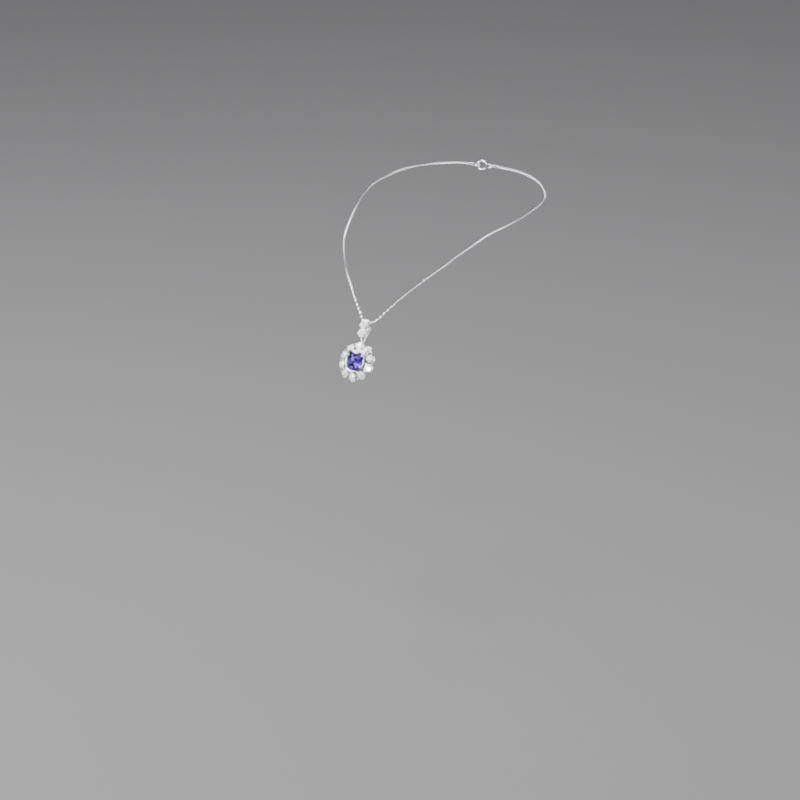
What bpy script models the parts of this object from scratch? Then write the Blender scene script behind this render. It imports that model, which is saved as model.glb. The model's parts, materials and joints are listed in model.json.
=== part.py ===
"""Pendant necklace: a cable chain, a spring ring clasp, a bail with two stones and a cluster
pendant with one large cushion-cut stone inside a halo of ten small ones.

World frame: metres, +Z up, the wearer looks along -Y, and the origin is the middle of the neck
at the height of the chain. The pendant hangs at the front and leans forward with the chest."""

import bmesh
import bpy
from math import asin, atan2, cos, pi, radians, sin, sqrt, tan
from mathutils import Matrix, Vector

MM = 0.001

# ---- driving dimensions, in millimetres and degrees ----
GAP = 0.05                  # left where one piece is soldered or seated against another
LINK_PLAY = 0.12            # left where a ring hangs on the wire of its neighbour

CHAIN_DIAMETER = 1.4
CHAIN_POINTS = 81           # an odd count, so that one point is the lowest one
CHAIN_GATHERING = 1.5       # above 1 the points crowd together towards the bail
# half of the chain's route, from the nape to the lowest point at the front; the other half mirrors it
NAPE_Y = 57.0
NAPE_Z = 20.0
SIDE_ROUTE = [
    (20.0, 55.0, 19.7),
    (32.0, 49.5, 18.6),
    (43.0, 40.5, 16.6),
    (49.5, 27.0, 14.0),
    (50.0, 10.0, 11.6),
    (46.3, -9.0, 9.2),
    (41.2, -27.0, 6.3),
    (37.4, -40.6, 2.9),
    (33.8, -50.6, -0.3),
    (28.7, -60.3, -4.6),
    (22.4, -70.0, -10.1),
    (15.8, -77.3, -16.2),
    (9.4, -83.4, -23.0),
    (4.5, -87.4, -28.6),
    (2.0, -89.8, -30.0),
]
APEX = (0.0, -90.7, -30.3)
LEAN = 29.0                 # the pendant's lean from the vertical, top towards the neck

END_LINK_LENGTH = 3.0
END_LINK_WIDTH = 2.0
END_LINK_WIRE = 0.45
JUMP_RING_DIAMETER = 3.8
RING_WIRE = 0.6
TAG_RING_DIAMETER = 4.8
TAG_RING_PLAY = 0.9         # free play of the clasp in the tag ring
CLASP_DIAMETER = 6.5
CLASP_TUBE = 1.3
CLASP_WALL = 0.22
CLASP_EYE_DIAMETER = 2.5
CLASP_MOUTH = (25.0, 75.0)  # the open stretch of the tube, measured from the eye
BOLT_CLEARANCE = 0.08
BOLT_ARC = (28.0, 150.0)
BOLT_TRAVEL = 45.0
NUB_ANGLE = 102.0
NUB_DIAMETER = 0.5
NUB_HEIGHT = 0.55
SPRING_ARC = (200.0, 345.0)
SPRING_TURNS = 9
SPRING_WIRE = 0.12

BAIL_STRAP = 0.5            # thickness of the bail's band
BAIL_HALF_WIDTH = 1.0
BAIL_FOOT_HALF_WIDTH = 0.25
BAIL_TAPER_FROM = 6.2       # distance below the chain where the band starts to narrow
BAIL_ROOM = 0.4             # from the chain to the inside of the bail's top
BAIL_DEPTH = 4.2            # from the chain's middle to the outside of the bail's back
BAIL_LENGTH = 9.0           # from the chain's middle to the middle of the bail's foot
BAIL_FOOT_OUT = 0.2         # the foot's distance in front of the chain's middle
BAIL_POINTS = 44
BAIL_STONE_DIAMETER = 3.9
BAIL_STONE_DROP = 1.6       # the upper stone's distance below the chain's middle
BAIL_STONE_GAP = 0.45       # between the bail's two settings
BAIL_SETTING_DEPTH = 1.8

FOOT_PLAY = 0.25            # from the bail's foot to the connector's wire above it
CONNECTOR_HEIGHT = 2.98
CONNECTOR_WIDTH = 2.55
CONNECTOR_WIRE = 0.55
EYELET_DIAMETER = 2.3

HALO_COUNT = 10
HALO_STONE_DIAMETER = 4.2
HALO_TILT = 35.0
HALO_STAND = 0.2            # from the back plate to the lowest edge of a halo setting
HALO_ROOM = 1.18            # from the large stone's collet to the halo settings
HALO_CUP_GAP = 0.3          # the least gap between two neighbouring halo settings
EYELET_ROOM = 0.73          # from the connector's lower wire to the corner of the top setting

GALLERY_THICKNESS = 0.6
GALLERY_RIM = 1.7
GALLERY_RIM_LEDGE = 0.05    # the rim outside the feet of the halo settings
GALLERY_INNER_RIM = 1.3
GALLERY_LEDGE = 0.6         # the inner rim inside the foot of the collet
GALLERY_SPOKES = 5
GALLERY_SPOKE_WIDTH = 1.0

CENTRE_HALF_WIDTH = 4.85
CENTRE_HALF_HEIGHT = 5.4
CENTRE_SQUARENESS = 2.3
CULET_ROOM = 0.5            # from the back plate's front to the point of the large stone
CENTRE_CROWN_ANGLE = 35.0
CENTRE_PAVILION = 3.8
CENTRE_TABLE = 0.58
CENTRE_CLAW_DIAMETER = 0.6
CENTRE_CLAW_ANGLE = 36.0    # from the pendant's width, between two halo stones
COLLET_WALL = 0.3
COLLET_BAND = 0.3           # the straight part of the collet below the girdle
COLLET_FOOT_INSET = 1.3     # how much narrower the collet is at its foot
COLLET_FOOT_WALL = 0.4
COLLET_THROAT_INSET = 1.25
COLLET_THROAT_DEPTH = 1.3

SETTING_WALL = 0.25
SETTING_DEPTH = 1.5
SETTING_LIP = 0.1
SETTING_BAND = 0.35         # the straight part of a cup below the girdle
SETTING_FOOT_INSET = 0.5    # how much narrower a cup is at its foot
SETTING_THROAT_SHARE = 0.63
CLAW_DIAMETER = 0.32
CLAW_STANDOFF = 0.03
CLAW_REACH = 0.3            # how far a claw's tip reaches in over its stone
CLAW_FOOT = 0.55            # how far a claw reaches down its cup
GIRDLE = 0.12
SEAT_CLEARANCE = 0.05
CROWN_ANGLE = 34.5
PAVILION_ANGLE = 41.0
TABLE_SHARE = 0.57

RING_STEPS = 24
TURN_STEPS = 16             # a cup has the same flats as the stone in it
CLAW_BEVEL = 0              # a small claw is a square wire here

# ---- sizes that follow from the ones above ----
tilt = radians(HALO_TILT)
halo_cup = HALO_STONE_DIAMETER / 2 + SETTING_WALL
halo_cup_inwards = halo_cup * cos(tilt) - SETTING_LIP * sin(tilt)
halo_cup_outwards = halo_cup * cos(tilt) - SETTING_BAND * sin(tilt)
HALO_HALF_WIDTH = max(
    CENTRE_HALF_WIDTH + COLLET_WALL + HALO_ROOM + halo_cup_inwards,
    (halo_cup * 2 + HALO_CUP_GAP) / (2 * sin(pi / HALO_COUNT)))
HALO_HALF_HEIGHT = HALO_HALF_WIDTH + CENTRE_HALF_HEIGHT - CENTRE_HALF_WIDTH
halo_foot = HALO_STONE_DIAMETER / 2 - SETTING_FOOT_INSET
GALLERY_RIM_OVERHANG = halo_foot * cos(tilt) - SETTING_DEPTH * sin(tilt) + GALLERY_RIM_LEDGE
HALO_RISE = GALLERY_THICKNESS + HALO_STAND + halo_foot * sin(tilt) + SETTING_DEPTH * cos(tilt)
HEAD_DROP = HALO_HALF_HEIGHT + halo_cup_outwards + EYELET_ROOM
CENTRE_RISE = GALLERY_THICKNESS + CULET_ROOM + CENTRE_PAVILION
GALLERY_HOLE = CENTRE_HALF_WIDTH - COLLET_FOOT_INSET - COLLET_FOOT_WALL - GALLERY_LEDGE
BAIL_STONE_PITCH = BAIL_STONE_DIAMETER + 2 * SETTING_WALL + BAIL_STONE_GAP


# ---- scene ----

def clear_scene():
    for old in list(bpy.data.objects):
        bpy.data.objects.remove(old, do_unlink=True)


def new_collection(name):
    collection = bpy.data.collections.new(name)
    bpy.context.scene.collection.children.link(collection)
    return collection


def new_material(name, colour, metallic, roughness, transmission=0.0):
    material = bpy.data.materials.new(name)
    material.use_nodes = True
    shader = material.node_tree.nodes["Principled BSDF"]
    shader.inputs["Base Color"].default_value = (*colour, 1.0)
    shader.inputs["Metallic"].default_value = metallic
    shader.inputs["Roughness"].default_value = roughness
    shader.inputs["Transmission Weight"].default_value = transmission
    return material


clear_scene()
necklace = new_collection("pendant_necklace")
cutters = new_collection("cutters")


def white_metal(name):
    return new_material(name + "_metal", (0.86, 0.87, 0.89), 1.0, 0.12)


def clear_stone(name):
    return new_material(name + "_crystal", (0.95, 0.96, 1.0), 0.0, 0.02, 0.9)


def violet_stone(name):
    return new_material(name + "_violet", (0.16, 0.12, 0.52), 0.0, 0.02, 0.7)


def add_piece(name, mesh, finish, holder, place=(0.0, 0.0, 0.0), turn=None, smooth=True):
    """Puts a mesh given in metres into the necklace, at a place in millimetres in its holder."""
    if smooth:
        mesh.shade_smooth()
        mesh.set_sharp_from_angle(angle=radians(35.0))
    piece = bpy.data.objects.new(name, mesh)
    necklace.objects.link(piece)
    piece.data.materials.clear()
    piece.data.materials.append(finish(name))
    piece.parent = holder
    piece.matrix_local = Matrix.Translation(Vector(place) * MM) @ (turn or Matrix()).to_4x4()
    return piece


def add_holder(name, place, turn=None, holder=None):
    """An empty on a joint's axis, which carries the pieces that move with it."""
    empty = bpy.data.objects.new(name, None)
    necklace.objects.link(empty)
    empty.empty_display_size = 0.004
    empty.parent = holder
    empty.matrix_local = Matrix.Translation(Vector(place) * MM) @ (turn or Matrix()).to_4x4()
    return empty


# ---- mesh helpers ----

def mesh_of(source, merge=0.000005):
    """The finished mesh of an object with modifiers or of a curve, with its doubles merged."""
    graph = bpy.context.evaluated_depsgraph_get()
    graph.update()
    mesh = bpy.data.meshes.new_from_object(source.evaluated_get(graph))
    cleaner = bmesh.new()
    cleaner.from_mesh(mesh)
    bmesh.ops.remove_doubles(cleaner, verts=cleaner.verts, dist=merge)
    bmesh.ops.recalc_face_normals(cleaner, faces=cleaner.faces)
    cleaner.to_mesh(mesh)
    cleaner.free()
    bpy.data.objects.remove(source, do_unlink=True)
    return mesh


def tube_mesh(points, diameter, closed=False, resolution=2, widths=None):
    """A round wire along points given in millimetres."""
    curve = bpy.data.curves.new("wire", "CURVE")
    curve.dimensions = "3D"
    curve.bevel_depth = diameter * MM / 2
    curve.bevel_resolution = resolution
    curve.use_fill_caps = not closed
    spline = curve.splines.new("POLY")
    spline.points.add(len(points) - 1)
    for index, point in enumerate(points):
        spline.points[index].co = (*(Vector(point) * MM), 1.0)
        spline.points[index].radius = widths[index] if widths else 1.0
    spline.use_cyclic_u = closed
    wire = bpy.data.objects.new("wire", curve)
    cutters.objects.link(wire)
    return mesh_of(wire)


def plate_mesh(outlines, thickness):
    """A flat plate on z = 0 with any holes, from closed outlines in millimetres."""
    curve = bpy.data.curves.new("plate", "CURVE")
    curve.dimensions = "2D"
    curve.fill_mode = "BOTH"
    curve.extrude = thickness * MM / 2
    for outline in outlines:
        spline = curve.splines.new("POLY")
        spline.points.add(len(outline) - 1)
        for index, (x, y) in enumerate(outline):
            spline.points[index].co = (x * MM, y * MM, 0.0, 1.0)
        spline.use_cyclic_u = True
    plate = bpy.data.objects.new("plate", curve)
    cutters.objects.link(plate)
    return mesh_of(plate)


def turned_mesh(profile, steps):
    """A ring turned about Z from a closed profile of (radius, height) in millimetres."""
    mesh = bpy.data.meshes.new("profile")
    points = [(radius * MM, 0.0, height * MM) for radius, height in profile]
    edges = [(index, (index + 1) % len(points)) for index in range(len(points))]
    mesh.from_pydata(points, edges, [])
    blank = bpy.data.objects.new("profile", mesh)
    cutters.objects.link(blank)
    screw = blank.modifiers.new("turn", "SCREW")
    screw.steps = steps
    screw.render_steps = steps
    screw.use_merge_vertices = True
    screw.merge_threshold = 0.000005
    return mesh_of(blank)


def ring_mesh(outer_length, outer_width, wire):
    """An oval ring of round wire on z = 0, with its length along X."""
    half_length = (outer_length - wire) / 2
    half_width = (outer_width - wire) / 2
    angles = [2 * pi * step / RING_STEPS for step in range(RING_STEPS)]
    points = [(half_length * cos(angle), half_width * sin(angle), 0.0) for angle in angles]
    return tube_mesh(points, wire, closed=True, resolution=1)


def arc_points(radius, start, end, count):
    """Points along an arc on z = 0 about the origin, angles in degrees from +X."""
    angles = [radians(start + (end - start) * step / (count - 1)) for step in range(count)]
    return [(radius * cos(angle), radius * sin(angle), 0.0) for angle in angles]


def combined_mesh(base, others, operation="UNION"):
    """One solid from a mesh and others that are joined to it or cut from it."""
    result = bpy.data.objects.new("base", base)
    cutters.objects.link(result)
    helpers = []
    for index, other in enumerate(others):
        helper = bpy.data.objects.new("helper", other)
        helper.hide_render = True
        helper.display_type = "WIRE"
        cutters.objects.link(helper)
        helpers.append(helper)
        boolean = result.modifiers.new("boolean_" + str(index), "BOOLEAN")
        boolean.operation = operation
        boolean.object = helper
    mesh = mesh_of(result, 0.000001)
    for helper in helpers:
        bpy.data.objects.remove(helper, do_unlink=True)
    return mesh


def moved(mesh, matrix):
    mesh.transform(matrix)
    return mesh


def smooth_route(points, shares, closed=False):
    """Points at the given shares of the length of a smooth curve (Catmull-Rom) through others."""
    knots = [Vector(point) for point in points]
    if closed:
        knots = [knots[-1]] + knots + knots[:2]
    else:
        knots = [2 * knots[0] - knots[1]] + knots + [2 * knots[-1] - knots[-2]]
    fine = []
    for index in range(1, len(knots) - 2):
        a, b, c, d = knots[index - 1:index + 3]
        for step in range(24):
            t = step / 24
            point = 2 * b + (c - a) * t + (2 * a - 5 * b + 4 * c - d) * t ** 2
            fine.append((point + (3 * b - 3 * c + d - a) * t ** 3) / 2)
    fine.append(knots[-2])
    lengths = [0.0]
    for before, after in zip(fine, fine[1:]):
        lengths.append(lengths[-1] + (after - before).length)
    route = []
    place = 0
    for share_along in shares:
        target = lengths[-1] * share_along
        while place < len(lengths) - 2 and lengths[place + 1] < target:
            place += 1
        share = (target - lengths[place]) / (lengths[place + 1] - lengths[place])
        route.append(fine[place].lerp(fine[place + 1], share))
    return route


# ---- stones, cut from a prism by flat planes as a lapidary does ----

def support(outline, angle):
    """How far an outline reaches in the direction of an angle."""
    return max(x * cos(angle) + y * sin(angle) for x, y in outline)


def cut_facet(stone, angle, slope, reach, height):
    """Cuts one facet: it faces an angle, slopes by degrees and passes a reach and a height."""
    tilt = radians(abs(slope))
    side = 1.0 if slope > 0 else -1.0
    normal = Vector((sin(tilt) * cos(angle), sin(tilt) * sin(angle), side * cos(tilt)))
    point = Vector((reach * cos(angle), reach * sin(angle), height))
    everything = stone.verts[:] + stone.edges[:] + stone.faces[:]
    cut = bmesh.ops.bisect_plane(
        stone, geom=everything, dist=0.0001, plane_co=point, plane_no=normal, clear_outer=True)
    edges = [item for item in cut["geom_cut"] if isinstance(item, bmesh.types.BMEdge)]
    bmesh.ops.holes_fill(stone, edges=[edge for edge in edges if edge.is_boundary], sides=0)


def stone_mesh(outline, facets, top, bottom):
    """A stone from an outline in millimetres and a list of facets."""
    stone = bmesh.new()
    ring = [stone.verts.new((x, y, bottom)) for x, y in outline]
    floor = stone.faces.new(ring)
    raised = bmesh.ops.extrude_face_region(stone, geom=[floor])
    lifted = [item for item in raised["geom"] if isinstance(item, bmesh.types.BMVert)]
    bmesh.ops.translate(stone, verts=lifted, vec=(0.0, 0.0, top - bottom))
    bmesh.ops.recalc_face_normals(stone, faces=stone.faces)
    for angle, slope, reach, height in facets:
        cut_facet(stone, angle, slope, reach, height)
    bmesh.ops.remove_doubles(stone, verts=stone.verts, dist=0.0005)
    bmesh.ops.recalc_face_normals(stone, faces=stone.faces)
    bmesh.ops.scale(stone, verts=stone.verts, vec=(MM, MM, MM))
    mesh = bpy.data.meshes.new("stone")
    stone.to_mesh(mesh)
    stone.free()
    return mesh


def brilliant_facets(outline, crown_angle, pavilion_angle, table_share, half_step):
    """The 57 facets of a brilliant cut over any outline; half_step is half the small facets' pitch."""
    facets = []
    half = GIRDLE / 2
    crown = tan(radians(crown_angle)) * (1.0 - table_share)
    for step in range(16):
        angle = half_step + step * pi / 8
        reach = support(outline, angle)
        facets.append((angle, crown_angle + 6.5, reach, half))
        facets.append((angle, -(pavilion_angle + 1.8), reach, -half))
    for step in range(8):
        angle = step * pi / 4
        reach = support(outline, angle)
        facets.append((angle, crown_angle, reach, half))
        facets.append((angle, -pavilion_angle, reach, -half))
    smallest = min(support(outline, step * pi / 4) for step in range(8))
    table = half + crown * smallest
    for step in range(8):
        angle = pi / 8 + step * pi / 4
        reach = support(outline, angle) * table_share * cos(pi / 8)
        facets.append((angle, crown_angle - 12.0, reach, table))
    facets.append((0.0, 0.0001, 0.0, table))
    return facets, table


def round_outline(diameter):
    """Sixteen flats around a round stone, with their corners at multiples of 22.5 degrees."""
    corner = diameter / 2 / cos(pi / 16)
    return [(corner * cos(step * pi / 8), corner * sin(step * pi / 8)) for step in range(16)]


def round_stone_mesh(diameter):
    outline = round_outline(diameter)
    facets, table = brilliant_facets(outline, CROWN_ANGLE, PAVILION_ANGLE, TABLE_SHARE, pi / 16)
    return stone_mesh(outline, facets, table + 0.5, -diameter)


def cushion_radius(angle, half_width, half_height):
    """The radius of the large stone's outline: between an ellipse and a rounded rectangle."""
    across = abs(cos(angle) / half_width) ** CENTRE_SQUARENESS
    along = abs(sin(angle) / half_height) ** CENTRE_SQUARENESS
    return (across + along) ** (-1.0 / CENTRE_SQUARENESS)


def cushion_outline(steps):
    outline = []
    for step in range(steps):
        angle = 2 * pi * step / steps
        radius = cushion_radius(angle, CENTRE_HALF_WIDTH, CENTRE_HALF_HEIGHT)
        outline.append((radius * cos(angle), radius * sin(angle)))
    return outline


def centre_stone_mesh():
    outline = cushion_outline(32)
    slope = atan2(CENTRE_PAVILION, CENTRE_HALF_HEIGHT) * 180 / pi
    facets, table = brilliant_facets(outline, CENTRE_CROWN_ANGLE, slope, CENTRE_TABLE, pi / 16)
    for step in range(8):
        angle = pi / 8 + step * pi / 4
        reach = support(outline, angle) * 0.45
        facets.append((angle, -(slope - 7.0), reach, -CENTRE_PAVILION * 0.62))
    return stone_mesh(outline, facets, table + 0.5, -CENTRE_PAVILION * 1.5)


# ---- settings ----

def pavilion_radius(stone_radius, depth):
    """How wide a round stone still is at a depth below its girdle."""
    return max(0.0, stone_radius - (depth - GIRDLE / 2) / tan(radians(PAVILION_ANGLE)))


def setting_mesh(stone_diameter, depth):
    """A round cup with a seat for its stone and four claws, open at the back."""
    radius = stone_diameter / 2
    seat = radius + SEAT_CLEARANCE
    outside = radius + SETTING_WALL
    throat_depth = SETTING_DEPTH * SETTING_THROAT_SHARE
    throat = pavilion_radius(radius, throat_depth) + SEAT_CLEARANCE * 2
    cup = turned_mesh([
        (seat, SETTING_LIP),
        (outside, SETTING_LIP),
        (outside, -SETTING_BAND),
        (radius - SETTING_FOOT_INSET, -depth),
        (throat, -depth),
        (throat, -throat_depth),
        (seat, -GIRDLE / 2 - SEAT_CLEARANCE),
    ], TURN_STEPS)
    claws = []
    half = CLAW_DIAMETER / 2
    for step in range(4):
        angle = radians(45.0 + 90.0 * step)
        stand = radius + SEAT_CLEARANCE + half + CLAW_STANDOFF
        tip = GIRDLE / 2 + CLAW_REACH * tan(radians(CROWN_ANGLE)) + half + SEAT_CLEARANCE
        profile = [
            (stand - CLAW_STANDOFF, -CLAW_FOOT),
            (stand, GIRDLE),
            (radius - CLAW_REACH + 0.04, tip + 0.03),
        ]
        points = [(out * cos(angle), out * sin(angle), height) for out, height in profile]
        claws.append(tube_mesh(points, CLAW_DIAMETER, resolution=CLAW_BEVEL, widths=[1.0, 1.0, 0.85]))
    return combined_mesh(cup, claws)


# ---- chain ----

def clasp_row():
    """The places along X, from the wearer's left to right, of the pieces that close the chain."""
    row = {}
    link_half = END_LINK_LENGTH / 2
    row["left_link"] = -GAP * 2 - link_half
    row["left_pivot"] = row["left_link"] - link_half + END_LINK_WIRE / 2
    jump_top = row["left_pivot"] + END_LINK_WIRE / 2 + RING_WIRE / 2 + LINK_PLAY
    row["jump_ring"] = jump_top - (JUMP_RING_DIAMETER - RING_WIRE) / 2
    row["clasp_pivot"] = row["jump_ring"] - (JUMP_RING_DIAMETER - RING_WIRE) / 2
    eye_top = row["clasp_pivot"] + RING_WIRE + LINK_PLAY
    row["eye"] = eye_top - (CLASP_EYE_DIAMETER - RING_WIRE) / 2
    row["clasp"] = row["eye"] - CLASP_EYE_DIAMETER / 2 - GAP - CLASP_DIAMETER / 2
    clasp_end = row["clasp"] - (CLASP_DIAMETER - CLASP_TUBE) / 2
    tag_top = clasp_end + CLASP_TUBE / 2 + RING_WIRE / 2 + TAG_RING_PLAY
    row["tag_ring"] = tag_top - (TAG_RING_DIAMETER - RING_WIRE) / 2
    tag_end = row["tag_ring"] - (TAG_RING_DIAMETER - RING_WIRE) / 2
    row["tag_pivot"] = tag_end + RING_WIRE / 2 + END_LINK_WIRE / 2 + LINK_PLAY
    row["right_link"] = row["tag_pivot"] - link_half + END_LINK_WIRE / 2
    row["end"] = row["right_link"] - link_half - GAP * 2
    middle = row["end"] / 2
    return {name: place - middle for name, place in row.items()}


def chain_route():
    """The chain's middle line from the wearer's left end round the front to the right end."""
    row = clasp_row()
    end_x = -row["end"]
    left = [(end_x, NAPE_Y, NAPE_Z)] + SIDE_ROUTE
    right = [(-x, y, z) for x, y, z in reversed(left)]
    half = (CHAIN_POINTS - 1) // 2
    spread = [(step / half) ** CHAIN_GATHERING / 2 for step in range(half + 1)]
    shares = [0.5 - share for share in reversed(spread)] + [0.5 + share for share in spread[1:]]
    return smooth_route(left + [APEX] + right, shares)


def build_chain():
    add_piece("chain", tube_mesh(chain_route(), CHAIN_DIAMETER), white_metal, None)


# ---- clasp ----

def build_clasp():
    row = clasp_row()

    def at(name):
        return (row[name], NAPE_Y, NAPE_Z)

    upright = Matrix.Rotation(radians(90.0), 4, "X")
    link = ring_mesh(END_LINK_LENGTH, END_LINK_WIDTH, END_LINK_WIRE)
    add_piece("end_link_left", link, white_metal, None, at("left_link"), upright)
    add_piece("end_link_right", link.copy(), white_metal, None, at("right_link"), upright)

    tag = add_holder("tag_ring_pivot", at("tag_pivot"))
    tag_ring = ring_mesh(TAG_RING_DIAMETER, TAG_RING_DIAMETER, RING_WIRE)
    add_piece("tag_ring", tag_ring, white_metal, tag, (row["tag_ring"] - row["tag_pivot"], 0, 0))

    jump = add_holder("jump_ring_pivot", at("left_pivot"))
    jump_ring = ring_mesh(JUMP_RING_DIAMETER, JUMP_RING_DIAMETER, RING_WIRE)
    add_piece("clasp_jump_ring", jump_ring, white_metal, jump,
              (row["jump_ring"] - row["left_pivot"], 0, 0))

    pivot = row["clasp_pivot"] - row["left_pivot"]
    clasp = add_holder("clasp_pivot", (pivot, 0, 0), None, jump)
    eye = ring_mesh(CLASP_EYE_DIAMETER, CLASP_EYE_DIAMETER, RING_WIRE)
    add_piece("clasp_eye", eye, white_metal, clasp, (row["eye"] - row["clasp_pivot"], 0, 0), upright)

    tube = CLASP_TUBE / 2
    bore = tube - CLASP_WALL
    middle = (CLASP_DIAMETER - CLASP_TUBE) / 2
    ring = add_holder("bolt_pivot", (row["clasp"] - row["clasp_pivot"], 0, 0), upright, clasp)
    start, end = CLASP_MOUTH[1], 360.0 + CLASP_MOUTH[0]
    body = tube_mesh(arc_points(middle, start, end, 25), CLASP_TUBE)
    hollow = tube_mesh(arc_points(middle, start - 8.0, end + 8.0, 27), bore * 2)
    nub_room = asin((NUB_DIAMETER / 2 + BOLT_CLEARANCE) / middle) * 180 / pi
    slot_arc = (NUB_ANGLE - nub_room, NUB_ANGLE + BOLT_TRAVEL + nub_room)
    slot_half = NUB_DIAMETER / 2 + BOLT_CLEARANCE
    slot_outline = [(x, y) for x, y, z in arc_points(middle + 2 * tube, *slot_arc, 9)]
    slot_outline += [(x, y) for x, y, z in arc_points(middle + bore * 0.4, *reversed(slot_arc), 9)]
    slot = plate_mesh([slot_outline], slot_half * 2)
    body = combined_mesh(body, [hollow, slot], "DIFFERENCE")
    add_piece("clasp_body", body, white_metal, ring)

    bolt_diameter = (bore - BOLT_CLEARANCE) * 2
    bolt = tube_mesh(arc_points(middle, *BOLT_ARC, 13), bolt_diameter)
    nub_angle = radians(NUB_ANGLE)
    outwards = Vector((cos(nub_angle), sin(nub_angle), 0.0))
    nub = tube_mesh([outwards * middle, outwards * (middle + tube + NUB_HEIGHT)], NUB_DIAMETER)
    add_piece("clasp_bolt", combined_mesh(bolt, [nub]), white_metal, ring)

    coil = bore - BOLT_CLEARANCE - SPRING_WIRE / 2
    steps = SPRING_TURNS * 6
    helix = []
    for step in range(steps + 1):
        along = radians(SPRING_ARC[0] + (SPRING_ARC[1] - SPRING_ARC[0]) * step / steps)
        around = 2 * pi * step / 6
        radius = middle + coil * cos(around)
        helix.append((radius * cos(along), radius * sin(along), coil * sin(around)))
    add_piece("clasp_spring", tube_mesh(helix, SPRING_WIRE, resolution=0), white_metal, ring)


# ---- bail ----

def bail_middle_line():
    """The bail's band seen from the side, as (distance below the chain, distance in front)."""
    top = CHAIN_DIAMETER / 2 + BAIL_ROOM + BAIL_STRAP / 2
    back = BAIL_DEPTH - BAIL_STRAP / 2
    foot = BAIL_LENGTH
    out = BAIL_FOOT_OUT
    return [
        (-top, 0.1),
        (-0.7 * top, 0.8 * top),
        (0.1 * top, top),
        (0.30 * foot, top + GAP),
        (0.55 * foot, top + GAP),
        (foot - 1.9, top - GAP),
        (foot - 0.75, out + 0.85),
        (foot, out),
        (foot - 0.75, out - 0.85),
        (foot - 2.0, -0.40 * back),
        (0.60 * foot, -0.66 * back),
        (0.40 * foot, -0.92 * back),
        (0.22 * foot, -back),
        (0.03 * foot, -0.86 * back),
        (-0.75 * top, -0.52 * back),
    ]


def bail_outlines():
    """The band's outer and inner outlines, half its thickness to each side of its middle line."""
    flat = [(ahead, -below, 0.0) for below, ahead in bail_middle_line()]
    line = smooth_route(flat, [step / BAIL_POINTS for step in range(BAIL_POINTS)], closed=True)
    outer = []
    inner = []
    for index, point in enumerate(line):
        along = (line[(index + 1) % BAIL_POINTS] - line[index - 1]).normalized()
        away = Vector((along.y, -along.x, 0.0)) * BAIL_STRAP / 2
        first, second = point + away, point - away
        outer.append((first.x, first.y))
        inner.append((second.x, second.y))
    return outer, inner


def build_bail(pendant_turn):
    holder = add_holder("bail_pivot", APEX, pendant_turn)
    mesh = plate_mesh(bail_outlines(), BAIL_HALF_WIDTH * 2)
    # the plate stands on the pendant's middle plane: its own x becomes the distance in front
    moved(mesh, Matrix(((0, 0, 1, 0), (0, 1, 0, 0), (1, 0, 0, 0), (0, 0, 0, 1))))
    mesh.flip_normals()
    taper_end = BAIL_LENGTH - 0.8
    for vertex in mesh.vertices:
        share = (-vertex.co.y / MM - BAIL_TAPER_FROM) / (taper_end - BAIL_TAPER_FROM)
        share = min(1.0, max(0.0, share))
        half_width = BAIL_HALF_WIDTH + (BAIL_FOOT_HALF_WIDTH - BAIL_HALF_WIDTH) * share
        vertex.co.x *= half_width / BAIL_HALF_WIDTH
    add_piece("bail_frame", mesh, white_metal, holder)

    setting = setting_mesh(BAIL_STONE_DIAMETER, BAIL_SETTING_DEPTH)
    stone = round_stone_mesh(BAIL_STONE_DIAMETER)
    front = CHAIN_DIAMETER / 2 + BAIL_ROOM + BAIL_STRAP + GAP
    out = front + GAP * 2 + BAIL_SETTING_DEPTH
    for index, name in enumerate(("upper", "lower")):
        place = (0.0, -BAIL_STONE_DROP - index * BAIL_STONE_PITCH, out)
        add_piece("bail_setting_" + name, setting.copy(), white_metal, holder, place)
        add_piece("bail_stone_" + name, stone.copy(), clear_stone, holder, place, smooth=False)
    return holder


# ---- connector ----

def build_connector(bail):
    """The small ring between the bail's foot and the pendant's eyelet."""
    holder = add_holder("connector_pivot", (0.0, -BAIL_LENGTH, BAIL_FOOT_OUT), None, bail)
    top = BAIL_STRAP / 2 + FOOT_PLAY + CONNECTOR_WIRE / 2
    middle = top - (CONNECTOR_HEIGHT - CONNECTOR_WIRE) / 2
    ring = ring_mesh(CONNECTOR_WIDTH, CONNECTOR_HEIGHT, CONNECTOR_WIRE)
    add_piece("connector_ring", ring, white_metal, holder, (0.0, middle, 0.0))
    lower = middle - (CONNECTOR_HEIGHT - CONNECTOR_WIRE) / 2
    return holder, lower


# ---- pendant head ----

def oval(half_width, half_height, steps, start=0.0, sweep=2 * pi, closed=True):
    count = steps if closed else steps - 1
    angles = [start + sweep * step / count for step in range(steps)]
    return [(half_width * cos(angle), half_height * sin(angle)) for angle in angles]


def gallery_outlines():
    """The openwork back plate: a rim, an inner rim and the spokes between them."""
    rim_x = HALO_HALF_WIDTH + GALLERY_RIM_OVERHANG
    rim_y = HALO_HALF_HEIGHT + GALLERY_RIM_OVERHANG
    outlines = [oval(rim_x, rim_y, 36), oval(GALLERY_HOLE, GALLERY_HOLE * rim_y / rim_x, 18)]
    far_x, far_y = rim_x - GALLERY_RIM, rim_y - GALLERY_RIM
    near = GALLERY_HOLE + GALLERY_INNER_RIM
    far_gap = GALLERY_SPOKE_WIDTH / 2 / far_x
    near_gap = GALLERY_SPOKE_WIDTH / 2 / near
    pitch = 2 * pi / GALLERY_SPOKES
    for index in range(GALLERY_SPOKES):
        start = pi / 2 + index * pitch
        window = oval(far_x, far_y, 7, start + far_gap, pitch - 2 * far_gap, False)
        inner = oval(near, near * rim_y / rim_x, 5, start + near_gap, pitch - 2 * near_gap, False)
        outlines.append(window + inner[::-1])
    return outlines


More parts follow.
